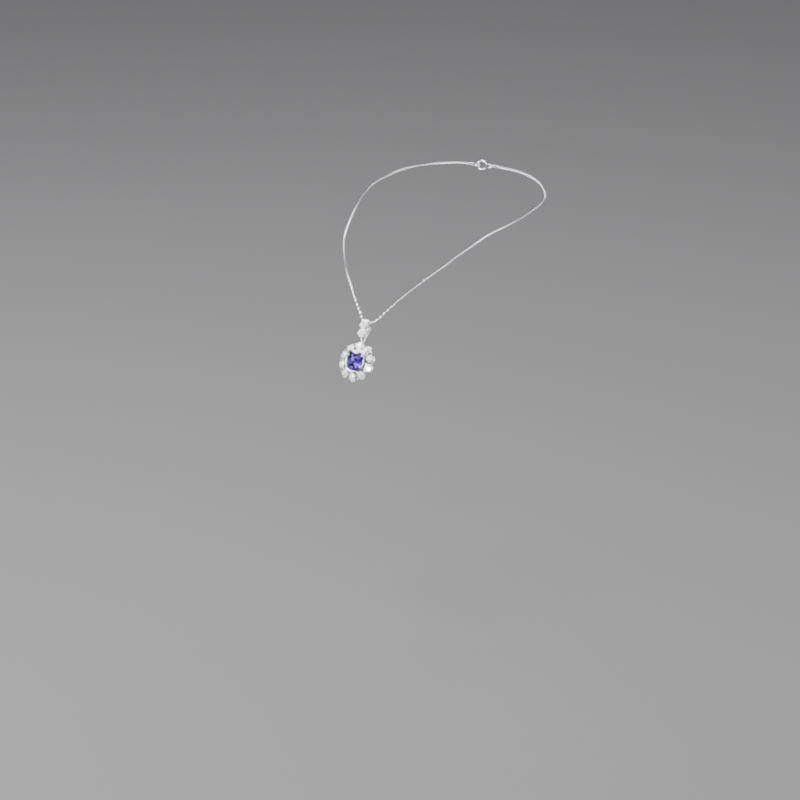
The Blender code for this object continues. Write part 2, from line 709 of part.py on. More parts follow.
def collet_mesh():
    """The tapered collar under the large stone, turned round and then squared off like the stone."""
    base = CENTRE_HALF_WIDTH
    height = CENTRE_RISE - GALLERY_THICKNESS - GAP * 2
    outer = base + COLLET_WALL
    mesh = turned_mesh([
        (base + SEAT_CLEARANCE, SETTING_LIP),
        (outer, SETTING_LIP),
        (outer, -COLLET_BAND),
        (base - COLLET_FOOT_INSET, -height),
        (base - COLLET_FOOT_INSET - COLLET_FOOT_WALL, -height),
        (base - COLLET_THROAT_INSET, -COLLET_THROAT_DEPTH),
        (base + SEAT_CLEARANCE, -GIRDLE / 2 - SEAT_CLEARANCE),
    ], 32)
    for vertex in mesh.vertices:
        angle = atan2(vertex.co.y, vertex.co.x)
        reach = sqrt(vertex.co.x ** 2 + vertex.co.y ** 2)
        wider = cushion_radius(angle, CENTRE_HALF_WIDTH, CENTRE_HALF_HEIGHT) / base
        vertex.co.x = reach * wider * cos(angle)
        vertex.co.y = reach * wider * sin(angle)
    return mesh


def centre_claw_mesh(angle):
    """One claw, from the side of the collet over the edge of the large stone."""
    half = CENTRE_CLAW_DIAMETER / 2
    edge = cushion_radius(angle, CENTRE_HALF_WIDTH, CENTRE_HALF_HEIGHT)
    wall = edge + COLLET_WALL * edge / CENTRE_HALF_WIDTH + GAP + half
    over = GIRDLE / 2 + CLAW_REACH * tan(radians(CENTRE_CROWN_ANGLE)) + half + SEAT_CLEARANCE * 2
    profile = [
        (wall - 0.75, -2.2),
        (wall, -0.35),
        (wall, 0.2),
        (wall - 0.25, over - 0.1),
        (edge - 0.1, over + 0.12),
        (edge - 0.5, over + 0.24),
    ]
    points = [(out * cos(angle), out * sin(angle), height) for out, height in profile]
    return tube_mesh(points, CENTRE_CLAW_DIAMETER, widths=[0.9, 1.0, 1.0, 1.0, 0.95, 0.7])


def build_head(connector, lower):
    holder = add_holder("head_pivot", (0.0, lower, 0.0), None, connector)
    back = -RING_WIRE / 2
    middle = -HEAD_DROP

    plate = plate_mesh(gallery_outlines(), GALLERY_THICKNESS)
    add_piece("head_gallery", plate, white_metal, holder, (0.0, middle, back + GALLERY_THICKNESS / 2))

    top = CONNECTOR_WIRE / 2 + LINK_PLAY + RING_WIRE / 2
    eye_radius = (EYELET_DIAMETER - RING_WIRE) / 2
    side_on = Matrix.Rotation(radians(90.0), 4, "Y")
    loop = moved(ring_mesh(EYELET_DIAMETER, EYELET_DIAMETER, RING_WIRE), side_on)
    loop = moved(loop, Matrix.Translation((0.0, (top - eye_radius) * MM, 0.0)))
    stem_end = middle + HALO_HALF_HEIGHT + GALLERY_RIM_OVERHANG + GAP
    stem = tube_mesh([(0.0, top - 2 * eye_radius, 0.0), (0.0, stem_end, 0.0)], RING_WIRE)
    add_piece("head_eyelet", combined_mesh(loop, [stem]), white_metal, holder)

    girdle = (0.0, middle, back + CENTRE_RISE)
    add_piece("centre_collet", collet_mesh(), white_metal, holder, girdle)
    add_piece("centre_stone", centre_stone_mesh(), violet_stone, holder, girdle, smooth=False)
    lean = radians(CENTRE_CLAW_ANGLE)
    for index, angle in enumerate((lean, pi - lean, pi + lean, -lean)):
        claw = centre_claw_mesh(angle)
        add_piece("centre_claw_" + str(index + 1), claw, white_metal, holder, girdle)

    setting = setting_mesh(HALO_STONE_DIAMETER, SETTING_DEPTH)
    stone = round_stone_mesh(HALO_STONE_DIAMETER)
    for index in range(HALO_COUNT):
        angle = 2 * pi * index / HALO_COUNT
        x = HALO_HALF_WIDTH * sin(angle)
        y = HALO_HALF_HEIGHT * cos(angle)
        place = (x, middle + y, back + HALO_RISE)
        # local +X points away from the middle, and the cup leans out that way
        turn = Matrix.Rotation(atan2(y, x), 4, "Z") @ Matrix.Rotation(tilt, 4, "Y")
        number = str(index + 1).zfill(2)
        add_piece("halo_setting_" + number, setting.copy(), white_metal, holder, place, turn)
        add_piece("halo_stone_" + number, stone.copy(), clear_stone, holder, place, turn, False)


build_chain()
build_clasp()
bail_holder = build_bail(Matrix.Rotation(radians(90.0 - LEAN), 4, "X"))
connector_holder, connector_foot = build_connector(bail_holder)
build_head(connector_holder, connector_foot)
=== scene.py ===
import json
import math
import bpy
from mathutils import Matrix, Vector


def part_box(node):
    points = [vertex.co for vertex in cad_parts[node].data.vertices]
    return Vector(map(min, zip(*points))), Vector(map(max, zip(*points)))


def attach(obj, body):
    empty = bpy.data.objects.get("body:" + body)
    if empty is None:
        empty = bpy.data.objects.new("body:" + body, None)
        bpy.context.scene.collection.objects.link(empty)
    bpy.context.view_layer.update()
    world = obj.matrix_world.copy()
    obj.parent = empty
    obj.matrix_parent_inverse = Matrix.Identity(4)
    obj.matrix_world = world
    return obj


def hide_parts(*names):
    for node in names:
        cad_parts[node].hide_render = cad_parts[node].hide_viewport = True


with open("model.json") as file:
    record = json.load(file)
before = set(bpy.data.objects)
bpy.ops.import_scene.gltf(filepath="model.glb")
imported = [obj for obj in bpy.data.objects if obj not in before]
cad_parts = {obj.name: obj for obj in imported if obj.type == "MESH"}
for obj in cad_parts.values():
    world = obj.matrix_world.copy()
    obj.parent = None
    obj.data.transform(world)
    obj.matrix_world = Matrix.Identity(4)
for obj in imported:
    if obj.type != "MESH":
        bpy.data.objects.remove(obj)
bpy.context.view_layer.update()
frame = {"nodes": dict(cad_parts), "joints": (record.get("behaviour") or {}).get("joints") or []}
mm = 0.001
weldReach = 0.000002      # corners nearer than this are one
print("frame loaded:", len(frame["nodes"]), "nodes")

jointOf = {joint["name"]: joint for joint in frame["joints"]}


# the camera comes first, then the chain

viewpoint = {
    "place": (0.7396, -1.5676, 0.4953),   # eye of the camera, metres
    "azimuth": 26.0,
    "elevation": 19.0,
    "lens": 147.8,
    "sensor": 36.0,
}


def addCamera():
    bpy.ops.object.camera_add(location=viewpoint["place"])
    camera = bpy.context.object
    camera.name = "studioCamera"
    turn = math.radians(viewpoint["azimuth"])
    rise = math.radians(viewpoint["elevation"])
    back = Vector((math.sin(turn) * math.cos(rise), -math.cos(turn) * math.cos(rise), math.sin(rise)))
    camera.rotation_euler = (-back).to_track_quat("-Z", "Y").to_euler()
    camera.data.lens = viewpoint["lens"]
    camera.data.sensor_width = viewpoint["sensor"]
    camera.data.clip_start = 0.05
    camera.data.clip_end = 30.0
    bpy.context.scene.camera = camera


# small tools

def dropSelection():
    for thing in bpy.context.selected_objects:
        thing.select_set(False)


def makeActive(piece):
    dropSelection()
    piece.select_set(True)
    bpy.context.view_layer.objects.active = piece


def pickFaces(piece, wanted):
    # selects the faces that pass a test and leaves the piece in edit mode
    makeActive(piece)
    bpy.ops.object.mode_set(mode="EDIT")
    bpy.ops.mesh.select_mode(type="FACE")
    bpy.ops.mesh.select_all(action="DESELECT")
    bpy.ops.object.mode_set(mode="OBJECT")
    for face in piece.data.polygons:
        face.select = wanted(face)
    bpy.ops.object.mode_set(mode="EDIT")


def joinPieces(pieces, name):
    dropSelection()
    for piece in pieces:
        piece.select_set(True)
    bpy.context.view_layer.objects.active = pieces[0]
    bpy.ops.object.join()
    joined = bpy.context.object
    joined.name = name
    joined.data.name = name
    return joined


def applyModifiers(piece):
    makeActive(piece)
    for modifier in list(piece.modifiers):
        bpy.ops.object.modifier_apply(modifier=modifier.name)


def pierceWall(piece, inOpening, outward, thickness):
    # opens the faces that pass the test, turns the shell outwards and thickens it inwards
    pickFaces(piece, inOpening)
    bpy.ops.mesh.delete(type="FACE")
    if outward < 0:
        bpy.ops.mesh.select_all(action="SELECT")
        bpy.ops.mesh.flip_normals()
    bpy.ops.object.mode_set(mode="OBJECT")
    wall = piece.modifiers.new("wall", "SOLIDIFY")
    wall.thickness = thickness
    wall.offset = -1.0
    wall.use_even_offset = True
    applyModifiers(piece)


def placePiece(piece, matrix):
    piece.data.transform(matrix @ piece.matrix_world)
    piece.matrix_world = Matrix()


def copyPiece(model, name, matrix):
    twin = model.copy()
    twin.data = model.data.copy()
    twin.name = name
    twin.data.name = name
    bpy.context.scene.collection.objects.link(twin)
    placePiece(twin, matrix)
    return twin


def finishPiece(piece, body, slotName, nodes, angle):
    makeActive(piece)
    bpy.ops.object.shade_smooth_by_angle(angle=math.radians(angle))
    piece.data.materials.clear()
    piece.data.materials.append(metals[slotName])
    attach(piece, body)
    if nodes:
        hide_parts(*nodes)


def weldFaces():
    # in edit mode: joins the seams, turns all faces outwards and leaves edit mode
    bpy.ops.mesh.select_all(action="SELECT")
    bpy.ops.mesh.remove_doubles(threshold=weldReach)
    bpy.ops.mesh.normals_make_consistent(inside=False)
    bpy.ops.object.mode_set(mode="OBJECT")


def showPiece(name, data):
    piece = bpy.data.objects.new(name, data)
    bpy.context.scene.collection.objects.link(piece)
    makeActive(piece)
    return piece


def meshFromCurve(name, curve):
    showPiece(name, curve)
    bpy.ops.object.convert(target="MESH")
    bpy.ops.object.mode_set(mode="EDIT")
    weldFaces()
    return bpy.context.object


def addLine(curve, points, closed, radii=None):
    spline = curve.splines.new("POLY")
    spline.points.add(len(points) - 1)
    for index, point in enumerate(points):
        spline.points[index].co = (*point, 1.0)
        spline.points[index].radius = radii[index] if radii else 1.0
    spline.use_cyclic_u = closed


def wirePiece(name, points, thick, closed=False, radii=None, rounds=3):
    # a round wire along the points; radii are shares of its own radius
    curve = bpy.data.curves.new(name, "CURVE")
    curve.dimensions = "3D"
    curve.bevel_depth = thick / 2
    curve.bevel_resolution = rounds
    curve.use_fill_caps = not closed
    addLine(curve, points, closed, radii)
    return meshFromCurve(name, curve)


def ballPiece(name, diameter, place, squash=1.0, segments=16):
    dropSelection()
    bpy.ops.mesh.primitive_uv_sphere_add(
        segments=segments, ring_count=segments // 2, radius=diameter / 2, location=(0, 0, 0))
    ball = bpy.context.object
    bpy.ops.object.mode_set(mode="EDIT")
    bpy.ops.transform.resize(value=(1.0, 1.0, squash))
    bpy.ops.object.mode_set(mode="OBJECT")
    ball.name = name
    placePiece(ball, Matrix.Translation(place))
    return ball


def ringPiece(name, diameter, wire, around=48, rounds=14):
    dropSelection()
    bpy.ops.mesh.primitive_torus_add(
        major_segments=around, minor_segments=rounds,
        major_radius=(diameter - wire) / 2, minor_radius=wire / 2)
    ring = bpy.context.object
    ring.name = name
    return ring


def smoothLine(points, closed=False, fine=24):
    # a smooth line through all the points, with this many short steps between two of them
    knots = [Vector(point) for point in points]
    if closed:
        knots = [knots[-1]] + knots + knots[:2]
    else:
        knots = [2 * knots[0] - knots[1]] + knots + [2 * knots[-1] - knots[-2]]
    line = []
    for index in range(1, len(knots) - 2):
        a, b, c, d = knots[index - 1:index + 3]
        for step in range(fine):
            t = step / fine
            bend = 2 * b + (c - a) * t + (2 * a - 5 * b + 4 * c - d) * t ** 2
            line.append((bend + (3 * b - 3 * c + d - a) * t ** 3) / 2)
    line.append(knots[-2])
    return line


def evenPoints(line, count):
    # evenly spaced points along a fine line, and its length
    lengths = [0.0]
    for before, after in zip(line, line[1:]):
        lengths.append(lengths[-1] + (after - before).length)
    span = lengths[-1]
    points = []
    place = 0
    for step in range(count):
        target = span * step / (count - 1)
        while place < len(lengths) - 2 and lengths[place + 1] < target:
            place += 1
        share = (target - lengths[place]) / (lengths[place + 1] - lengths[place])
        points.append(line[place].lerp(line[place + 1], share))
    return points, span


# materials

metalLook = {
    "scratchScale": 900.0,
    "scratchDepth": 0.000004,
    "scratchDulls": 0.10,       # how much rougher a scratch is
    "mottleEvens": 0.03,        # how much smoother the well plated places are
    "bump": 0.12,
    # how dark the painted shade in the hollows is, as a share of the dull colour
    "hollowShadeTone": 0.55,
    "edgeTone": 1.06,
}


def newGroup(name, inputs, outputs):
    group = bpy.data.node_groups.new(name, "ShaderNodeTree")
    for label, kind, value in inputs:
        socket = group.interface.new_socket(name=label, in_out="INPUT", socket_type=kind)
        socket.default_value = value
    for label in outputs:
        group.interface.new_socket(name=label, in_out="OUTPUT", socket_type="NodeSocketFloat")
    entry = group.nodes.new("NodeGroupInput").outputs
    leave = group.nodes.new("NodeGroupOutput").inputs
    return group, entry, leave


def feed(tree, socket, value):
    # another node's output, or a fixed value
    if isinstance(value, bpy.types.NodeSocket):
        tree.links.new(value, socket)
    elif socket.type == "RGBA":
        socket.default_value = (*value, 1.0)
    else:
        socket.default_value = value


def addNode(tree, kind, **values):
    node = tree.nodes.new(kind)
    for label, value in values.items():
        feed(tree, node.inputs[label.replace("_", " ")], value)
    return node


def mathNode(tree, operation, first, second, clamp=False):
    node = tree.nodes.new("ShaderNodeMath")
    node.operation = operation
    node.use_clamp = clamp
    feed(tree, node.inputs[0], first)
    feed(tree, node.inputs[1], second)
    return node.outputs[0]


def objectPlace(tree):
    return tree.nodes.new("ShaderNodeTexCoord").outputs["Object"]


def makeScratchGroup():
    # fine crossed hairlines, as a polishing cloth and wear leave them
    group, entry, leave = newGroup(
        "microScratches",
        [("Scale", "NodeSocketFloat", 900.0), ("Amount", "NodeSocketFloat", 0.5)], ["Mask"])
    place = objectPlace(group)
    masks = []
    for turn, stretch in ((0.5, 14.0), (2.1, 9.0)):
        mapping = addNode(
            group, "ShaderNodeMapping", Vector=place, Rotation=(turn, 0.4 * turn, turn * 1.7),
            Scale=(1.0, stretch, 1.0))
        noise = addNode(
            group, "ShaderNodeTexNoise", Vector=mapping.outputs["Vector"], Scale=entry["Scale"], Detail=3.0)
        ramp = addNode(
            group, "ShaderNodeMapRange", Value=noise.outputs["Fac"], From_Min=0.58, From_Max=0.72)
        masks.append(ramp.outputs["Result"])
    both = mathNode(group, "MAXIMUM", masks[0], masks[1])
    feed(group, leave["Mask"], mathNode(group, "MULTIPLY", both, entry["Amount"]))
    return group


def makeMottleGroup():
    # slow unevenness of a plated skin
    group, entry, leave = newGroup(
        "platingMottle",
        [("Scale", "NodeSocketFloat", 260.0), ("Low", "NodeSocketFloat", 0.35),
         ("High", "NodeSocketFloat", 0.7)], ["Mask"])
    noise = addNode(
        group, "ShaderNodeTexNoise", Vector=objectPlace(group), Scale=entry["Scale"], Detail=5.0,
        Roughness=0.6)
    ramp = addNode(
        group, "ShaderNodeMapRange", Value=noise.outputs["Fac"], From_Min=entry["Low"],
        From_Max=entry["High"])
    feed(group, leave["Mask"], ramp.outputs["Result"])
    return group


def makeEdgeGroup():
    # convex edges come out near one, hollows near nought; the second output turns this round and is the
    # mask for painted shade in the hollows
    group, entry, leave = newGroup(
        "edgeAndHollowMask", [("Reach", "NodeSocketFloat", 6.0)], ["Edge", "Hollow"])
    pointed = group.nodes.new("ShaderNodeNewGeometry").outputs["Pointiness"]
    for label, first, second in (("Edge", pointed, 0.5), ("Hollow", 0.5, pointed)):
        lean = mathNode(group, "SUBTRACT", first, second)
        feed(group, leave[label], mathNode(group, "MULTIPLY", lean, entry["Reach"], clamp=True))
    return group


def makePaintedReflectionGroup():
    # flat patches with sharp edges, each with its own value: painted reflections, like the mirror play
    # inside a cut stone
    group, entry, leave = newGroup(
        "paintedFacetReflections",
        [("Scale", "NodeSocketFloat", 900.0), ("Stretch", "NodeSocketVector", (1.0, 1.0, 1.0))],
        ["Patch"])
    mapping = addNode(
        group, "ShaderNodeMapping", Vector=objectPlace(group), Rotation=(0.3, 0.5, 0.8),
        Scale=entry["Stretch"])
    cells = addNode(
        group, "ShaderNodeTexVoronoi", Vector=mapping.outputs["Vector"], Scale=entry["Scale"])
    parts = addNode(group, "ShaderNodeSeparateColor", Color=cells.outputs["Color"])
    feed(group, leave["Patch"], parts.outputs["Red"])
    return group


paintedReflectionGroup = makePaintedReflectionGroup()
scratchGroup = makeScratchGroup()
mottleGroup = makeMottleGroup()
edgeGroup = makeEdgeGroup()


def groupNode(tree, group, **values):
    node = tree.nodes.new("ShaderNodeGroup")
    node.node_tree = group
    for label, value in values.items():
        feed(tree, node.inputs[label], value)
    return node.outputs


def mixColour(tree, factor, first, second):
    mix = tree.nodes.new("ShaderNodeMix")
    mix.data_type = "RGBA"
    feed(tree, mix.inputs["Factor"], factor)
    for label, colour in (("A", first), ("B", second)):
        socket = [entry for entry in mix.inputs if entry.name == label and entry.type == "RGBA"][0]
        feed(tree, socket, colour)
    return [socket for socket in mix.outputs if socket.type == "RGBA"][0]


def newMaterial(name):
    material = bpy.data.materials.new(name)
    material.use_nodes = True
    tree = material.node_tree
    return material, tree, tree.nodes["Principled BSDF"].inputs


def polishedMetal(name, colour, dull, roughness, scratch, mottleScale, reach=6.0):
    look = metalLook
    material, tree, shader = newMaterial(name)
    mottle = groupNode(tree, mottleGroup, Scale=mottleScale)["Mask"]
    scratches = groupNode(tree, scratchGroup, Scale=look["scratchScale"], Amount=scratch)["Mask"]
    edges = groupNode(tree, edgeGroup, Reach=reach)
    plated = mixColour(tree, mottle, dull, colour)
    # painted shade: hollows and the narrow gaps between parts are darkened in the colour itself, standing
    # in for the shade and dark reflections there
    darker = tuple(look["hollowShadeTone"] * channel for channel in dull)
    hollowShaded = mixColour(tree, edges["Hollow"], plated, darker)
    brighter = tuple(min(1.0, look["edgeTone"] * channel) for channel in colour)
    feed(tree, shader["Base Color"], mixColour(tree, edges["Edge"], hollowShaded, brighter))
    shader["Metallic"].default_value = 1.0
    base = mathNode(tree, "ADD", mathNode(tree, "MULTIPLY", mottle, -look["mottleEvens"]), roughness)
    scored = mathNode(tree, "MULTIPLY", scratches, look["scratchDulls"])
    feed(tree, shader["Roughness"], mathNode(tree, "ADD", base, scored, clamp=True))
    bump = addNode(
        tree, "ShaderNodeBump", Strength=look["bump"], Distance=look["scratchDepth"],
        Height=mathNode(tree, "MULTIPLY", scratches, -1.0))
    feed(tree, shader["Normal"], bump.outputs["Normal"])
    return material


metals = {
    "chain_metal": polishedMetal(
        "polishedChain", (0.74, 0.745, 0.76), (0.44, 0.45, 0.47), 0.10, 0.4, 420.0, 4.0),
    "clasp_metal": polishedMetal(
        "polishedClasp", (0.84, 0.845, 0.86), (0.62, 0.63, 0.65), 0.09, 0.8, 300.0),
    "pendant_metal": polishedMetal(
        "polishedPendant", (0.80, 0.805, 0.82), (0.54, 0.55, 0.57), 0.07, 0.6, 300.0),
    "setting_metal": polishedMetal(
        "rubbedSetting", (0.84, 0.845, 0.86), (0.56, 0.57, 0.59), 0.075, 0.5, 380.0),
}

hazeLook = {"scale": 1500.0, "amount": 0.25, "dulls": 0.06}
crystalLook = {
    "index": 2.4,
    "roughness": 0.012,
    "cells": 1250.0,
    "stretch": (1.0, 0.6, 1.0),
    # the stone's own colour and the painted reflections and painted highlights in it, at shares of the
    # patch value
    "colourAndReflectionTones": (
        (0.0, (0.30, 0.32, 0.36)), (0.10, (0.72, 0.74, 0.78)), (0.28, (0.97, 0.975, 0.985)),
        (0.70, (1.0, 1.0, 1.0))),
    "clearness": 0.42,
}
violetLook = {
    "index": 1.95,
    "roughness": 0.012,
    "cells": 760.0,
    "stretch": (1.0, 0.45, 1.0),
    # the stone's own violet and the painted dark reflections and painted highlights in it, at shares of the
    # patch value
    "colourAndReflectionTones": (
        (0.0, (0.008, 0.003, 0.05)), (0.34, (0.06, 0.02, 0.32)), (0.56, (0.22, 0.08, 0.80)),
        (0.82, (0.42, 0.24, 1.0)), (0.93, (0.95, 0.93, 1.0))),
    "clearness": 0.84,
}


def gemMaterial(name, look):
    # a clear cut stone: its own colour with patches of painted reflection and painted highlight in it, a
    # very slight haze on the facets
    material, tree, shader = newMaterial(name)
    # painted reflections: the patches set dark, coloured and white tones into the base colour
    patches = groupNode(tree, paintedReflectionGroup, Scale=look["cells"], Stretch=look["stretch"])
    ramp = addNode(tree, "ShaderNodeValToRGB", Fac=patches["Patch"])
    ramp.color_ramp.interpolation = "CONSTANT"
    colourAndReflectionTones = ramp.color_ramp.elements
    colourAndReflectionTones[0].color = (*look["colourAndReflectionTones"][0][1], 1.0)
    colourAndReflectionTones.remove(colourAndReflectionTones[1])
    for position, tone in look["colourAndReflectionTones"][1:]:
        colourAndReflectionTones.new(position).color = (*tone, 1.0)
    feed(tree, shader["Base Color"], ramp.outputs["Color"])
    haze = groupNode(tree, scratchGroup, Scale=hazeLook["scale"], Amount=hazeLook["amount"])
    lift = mathNode(tree, "MULTIPLY", haze["Mask"], hazeLook["dulls"])
    feed(tree, shader["Roughness"], mathNode(tree, "ADD", lift, look["roughness"], clamp=True))
    shader["Metallic"].default_value = 0.0
    shader["IOR"].default_value = look["index"]
    shader["Transmission Weight"].default_value = look["clearness"]
    return material


clearCrystal = gemMaterial("clearCrystal", crystalLook)
violetCrystal = gemMaterial("violetCrystal", violetLook)


# chain: one link modelled, then laid alternately along the route

chainLook = {
    "linkLength": 2.13 * mm,
    "linkWidth": 1.44 * mm,
    "wire": 0.42 * mm,
    "pitch": 1.29 * mm,
    "around": 12,
    "rounds": 5,
    "chestLift": 0.7,           # how far the skin under the chain faces upwards on the chest
    "chestStarts": 50.0 * mm,   # in front of the neck's axis
    "diameter": 1.4 * mm,
    "pathPoints": 320,
    "endGap": 0.1 * mm,         # from an end link's box to the chain's end
}
# half of the route in millimetres, from beside the clasp to the bail; the other half mirrors it
sideRoute = [
    (20.0, 55.0, 19.7),
    (32.0, 49.5, 18.6),
    (43.0, 40.5, 16.6),
    (49.5, 27.0, 14.0),
    (50.0, 10.0, 11.6),
    (46.3, -9.0, 9.2),
    (41.2, -27.0, 6.3),
    (37.4, -40.6, 2.9),
    (33.8, -50.6, -0.3),
    (28.7, -60.3, -4.6),
    (22.4, -70.0, -10.1),
    (15.8, -77.3, -16.2),
    (9.4, -83.4, -23.0),
    (4.5, -87.4, -28.6),
    (2.0, -89.8, -30.0),
]
chainApex = (0.0, -90.7, -30.3)


def chainLine():
    leftEnd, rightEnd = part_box("end_link_left"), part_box("end_link_right")
    pivot = jointOf["jump_ring_swing"]["pos_m"]
    start = Vector((leftEnd[1][0] + chainLook["endGap"], pivot[1], pivot[2]))
    finish = Vector((rightEnd[0][0] - chainLook["endGap"], pivot[1], pivot[2]))
    left = [Vector(point) * mm for point in sideRoute]
    right = [Vector((-point.x, point.y, point.z)) for point in reversed(left)]
    return smoothLine([start] + left + [Vector(chainApex) * mm] + right + [finish])


def linkPiece(name, length, width, wire, around, rounds):
    # a round ring whose two halves are drawn apart, which leaves two straight sides between them
    dropSelection()
    bpy.ops.mesh.primitive_torus_add(
        major_segments=around, minor_segments=rounds,
        major_radius=(width - wire) / 2, minor_radius=wire / 2, rotation=(0, 0, math.pi / around))
    link = bpy.context.object
    link.name = name
    bpy.ops.object.transform_apply(location=False, rotation=True, scale=False)
    bpy.ops.object.mode_set(mode="EDIT")
    bpy.ops.mesh.select_all(action="DESELECT")
    bpy.ops.object.mode_set(mode="OBJECT")
    for side in (1, -1):
        for vertex in link.data.vertices:
            vertex.select = vertex.co.x * side > 0
        bpy.ops.object.mode_set(mode="EDIT")
        bpy.ops.transform.translate(value=(side * (length - width) / 2, 0, 0))
        bpy.ops.object.mode_set(mode="OBJECT")
    return link


def layChain():
    print("chain")
    fine = chainLine()
    span = sum((after - before).length for before, after in zip(fine, fine[1:]))
    count = int(round(span / chainLook["pitch"]))
    places, span = evenPoints(fine, count)
    model = linkPiece(
        "chainLink", chainLook["linkLength"], chainLook["linkWidth"], chainLook["wire"],
        chainLook["around"], chainLook["rounds"])
    links = []
    for index, place in enumerate(places):
        ahead = places[min(index + 1, count - 1)] - places[max(index - 1, 0)]
        along = ahead.normalized()
        # the way the skin faces: away from the neck's axis, and upwards on the chest
        lift = chainLook["chestLift"] * min(1.0, max(0.0, -place.y / chainLook["chestStarts"]))
        outward = Vector((place.x, place.y, 0.0)).normalized() + Vector((0.0, 0.0, lift))
        across = along.cross(outward).normalized()
        outward = across.cross(along).normalized()
        # every second link lies flat on the skin, and the ones between stand on edge
        turn = math.radians(0.0 if index % 2 == 0 else 90.0)
        sideways = across * math.cos(turn) + outward * math.sin(turn)
        matrix = Matrix((along, sideways, along.cross(sideways))).transposed().to_4x4()
        matrix.translation = place
        links.append(copyPiece(model, "link" + str(index), matrix))
    bpy.data.objects.remove(model, do_unlink=True)
    chain = joinPieces(links, "cableChain")
    finishPiece(chain, "root", "chain_metal", ("chain",), 70.0)


addCamera()
layChain()


# rings, eyelets and end links

ringLook = {
    "wire": 0.6 * mm,
    "endWire": 0.45 * mm,
    "jumpSlit": 3.0,      # degrees left open where a jump ring closes
    "jumpTurn": 65.0,     # where that slit lies, in degrees round the ring
    "tagTurn": 140.0,
    "steps": 60,
}
quarter = math.radians(90)
upright = Matrix.Rotation(quarter, 4, "X")


def middleOf(node):
    low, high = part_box(node)
    return Vector([(a + b) / 2 for a, b in zip(low, high)])


def sizeOf(node):
    low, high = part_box(node)
    return Vector([b - a for a, b in zip(low, high)])


def arcLine(radius, start, end, steps):
    points = []
    for step in range(steps + 1):
        angle = math.radians(start + (end - start) * step / steps)
        points.append((radius * math.cos(angle), radius * math.sin(angle), 0.0))
    return points


def slitRing(name, node, body, turn):
    # a jump ring bent from wire, its two ends nearly touching
    half = ringLook["jumpSlit"] / 2
    radius = (sizeOf(node).x - ringLook["wire"]) / 2
    line = arcLine(radius, turn + half, turn + 360.0 - half, ringLook["steps"])
    ring = wirePiece(name, line, ringLook["wire"])
    placePiece(ring, Matrix.Translation(middleOf(node)))
    finishPiece(ring, body, "clasp_metal", (node,), 60)


def makeRings():
    print("rings")
    for side in ("left", "right"):
        node = "end_link_" + side
        size = sizeOf(node)
        link = linkPiece("endLink" + side.title(), size.x, size.z, ringLook["endWire"], 40, 12)
        placePiece(link, Matrix.Translation(middleOf(node)) @ upright)
        finishPiece(link, "root", "chain_metal", (node,), 60)
    slitRing("jumpRing", "clasp_jump_ring", "jump_ring", ringLook["jumpTurn"])
    slitRing("tagRing", "tag_ring", "tag_ring", ringLook["tagTurn"])


# spring ring clasp

claspLook = {
    "radius": 2.6 * mm,      # from the clasp's middle to the middle of its tube
    "tube": 1.3 * mm,
    "wall": 0.2 * mm,
    "mouth": (25.0, 75.0),   # degrees from the eye
    "slot": (94.0, 155.0),
    "slotWidth": 0.66 * mm,
    "boltWidth": 0.7 * mm,
    "bolt": (28.0, 150.0),
    "nub": 102.0,
    "springTurns": 13,
    "springWire": 0.11 * mm,
    "spring": (200.0, 345.0),
    "coil": 0.3 * mm,
    "coilSteps": 14,
    "tubeSides": 28,
    "tubeSteps": 124,
    "softEdge": 0.03 * mm,
    "collarInset": 1.5,      # degrees from the tube's end
    "collarStand": 0.03 * mm,
    "collarWire": 0.14 * mm,
    "eye": 2.5 * mm,
    "eyeWire": 0.6 * mm,
    "boltSteps": 60,
    "nubStand": 0.5 * mm,
    "nubWire": 0.36 * mm,
    "nubHead": 0.52 * mm,
    "nubSink": 0.18 * mm,
    "shaftSink": 0.2 * mm,
}


def claspTube():
    look = claspLook
    dropSelection()
    bpy.ops.mesh.primitive_circle_add(
        vertices=look["tubeSides"], radius=look["tube"] / 2, location=(look["radius"], 0, 0),
        rotation=(quarter, 0, 0))
    tube = bpy.context.object
    tube.name = "claspTube"
    bpy.ops.object.transform_apply(location=True, rotation=True, scale=True)
    start, end = look["mouth"][1], 360.0 + look["mouth"][0]
    tube.data.transform(Matrix.Rotation(math.radians(start), 4, "Z"))
    bpy.ops.object.mode_set(mode="EDIT")
    bpy.ops.mesh.select_all(action="SELECT")
    sweep = math.radians(end - start)
    bpy.ops.mesh.spin(steps=look["tubeSteps"], angle=sweep, center=(0, 0, 0), axis=(0, 0, 1))
    bpy.ops.mesh.select_all(action="SELECT")
    bpy.ops.mesh.normals_make_consistent(inside=False)
    bpy.ops.object.mode_set(mode="OBJECT")
    outward = sum(face.normal.z * face.center.z for face in tube.data.polygons)

    def inSlot(face):
        turn = math.degrees(math.atan2(face.center.y, face.center.x)) % 360.0
        outside = math.hypot(face.center.x, face.center.y) > look["radius"] + look["tube"] / 5
        narrow = abs(face.center.z) < look["slotWidth"] / 2
        return look["slot"][0] < turn < look["slot"][1] and outside and narrow

    pierceWall(tube, inSlot, outward, look["wall"])
    bevel = tube.modifiers.new("softEdges", "BEVEL")
    bevel.width = look["softEdge"]
    bevel.segments = 2
    bevel.limit_method = "ANGLE"
    bevel.angle_limit = math.radians(50)
    applyModifiers(tube)
    return tube


def makeCollars():
    # a raised band round the tube beside each of its two ends
    look = claspLook
    diameter = look["tube"] + 2 * look["collarStand"]
    collars = []
    for end in (look["mouth"][1] + look["collarInset"], 360.0 + look["mouth"][0] - look["collarInset"]):
        collar = ringPiece("claspCollar", diameter, look["collarWire"], 28, 8)
        turn = Matrix.Rotation(math.radians(end), 4, "Z") @ Matrix.Translation((look["radius"], 0, 0))
        placePiece(collar, turn @ upright)
        collars.append(collar)
    return collars


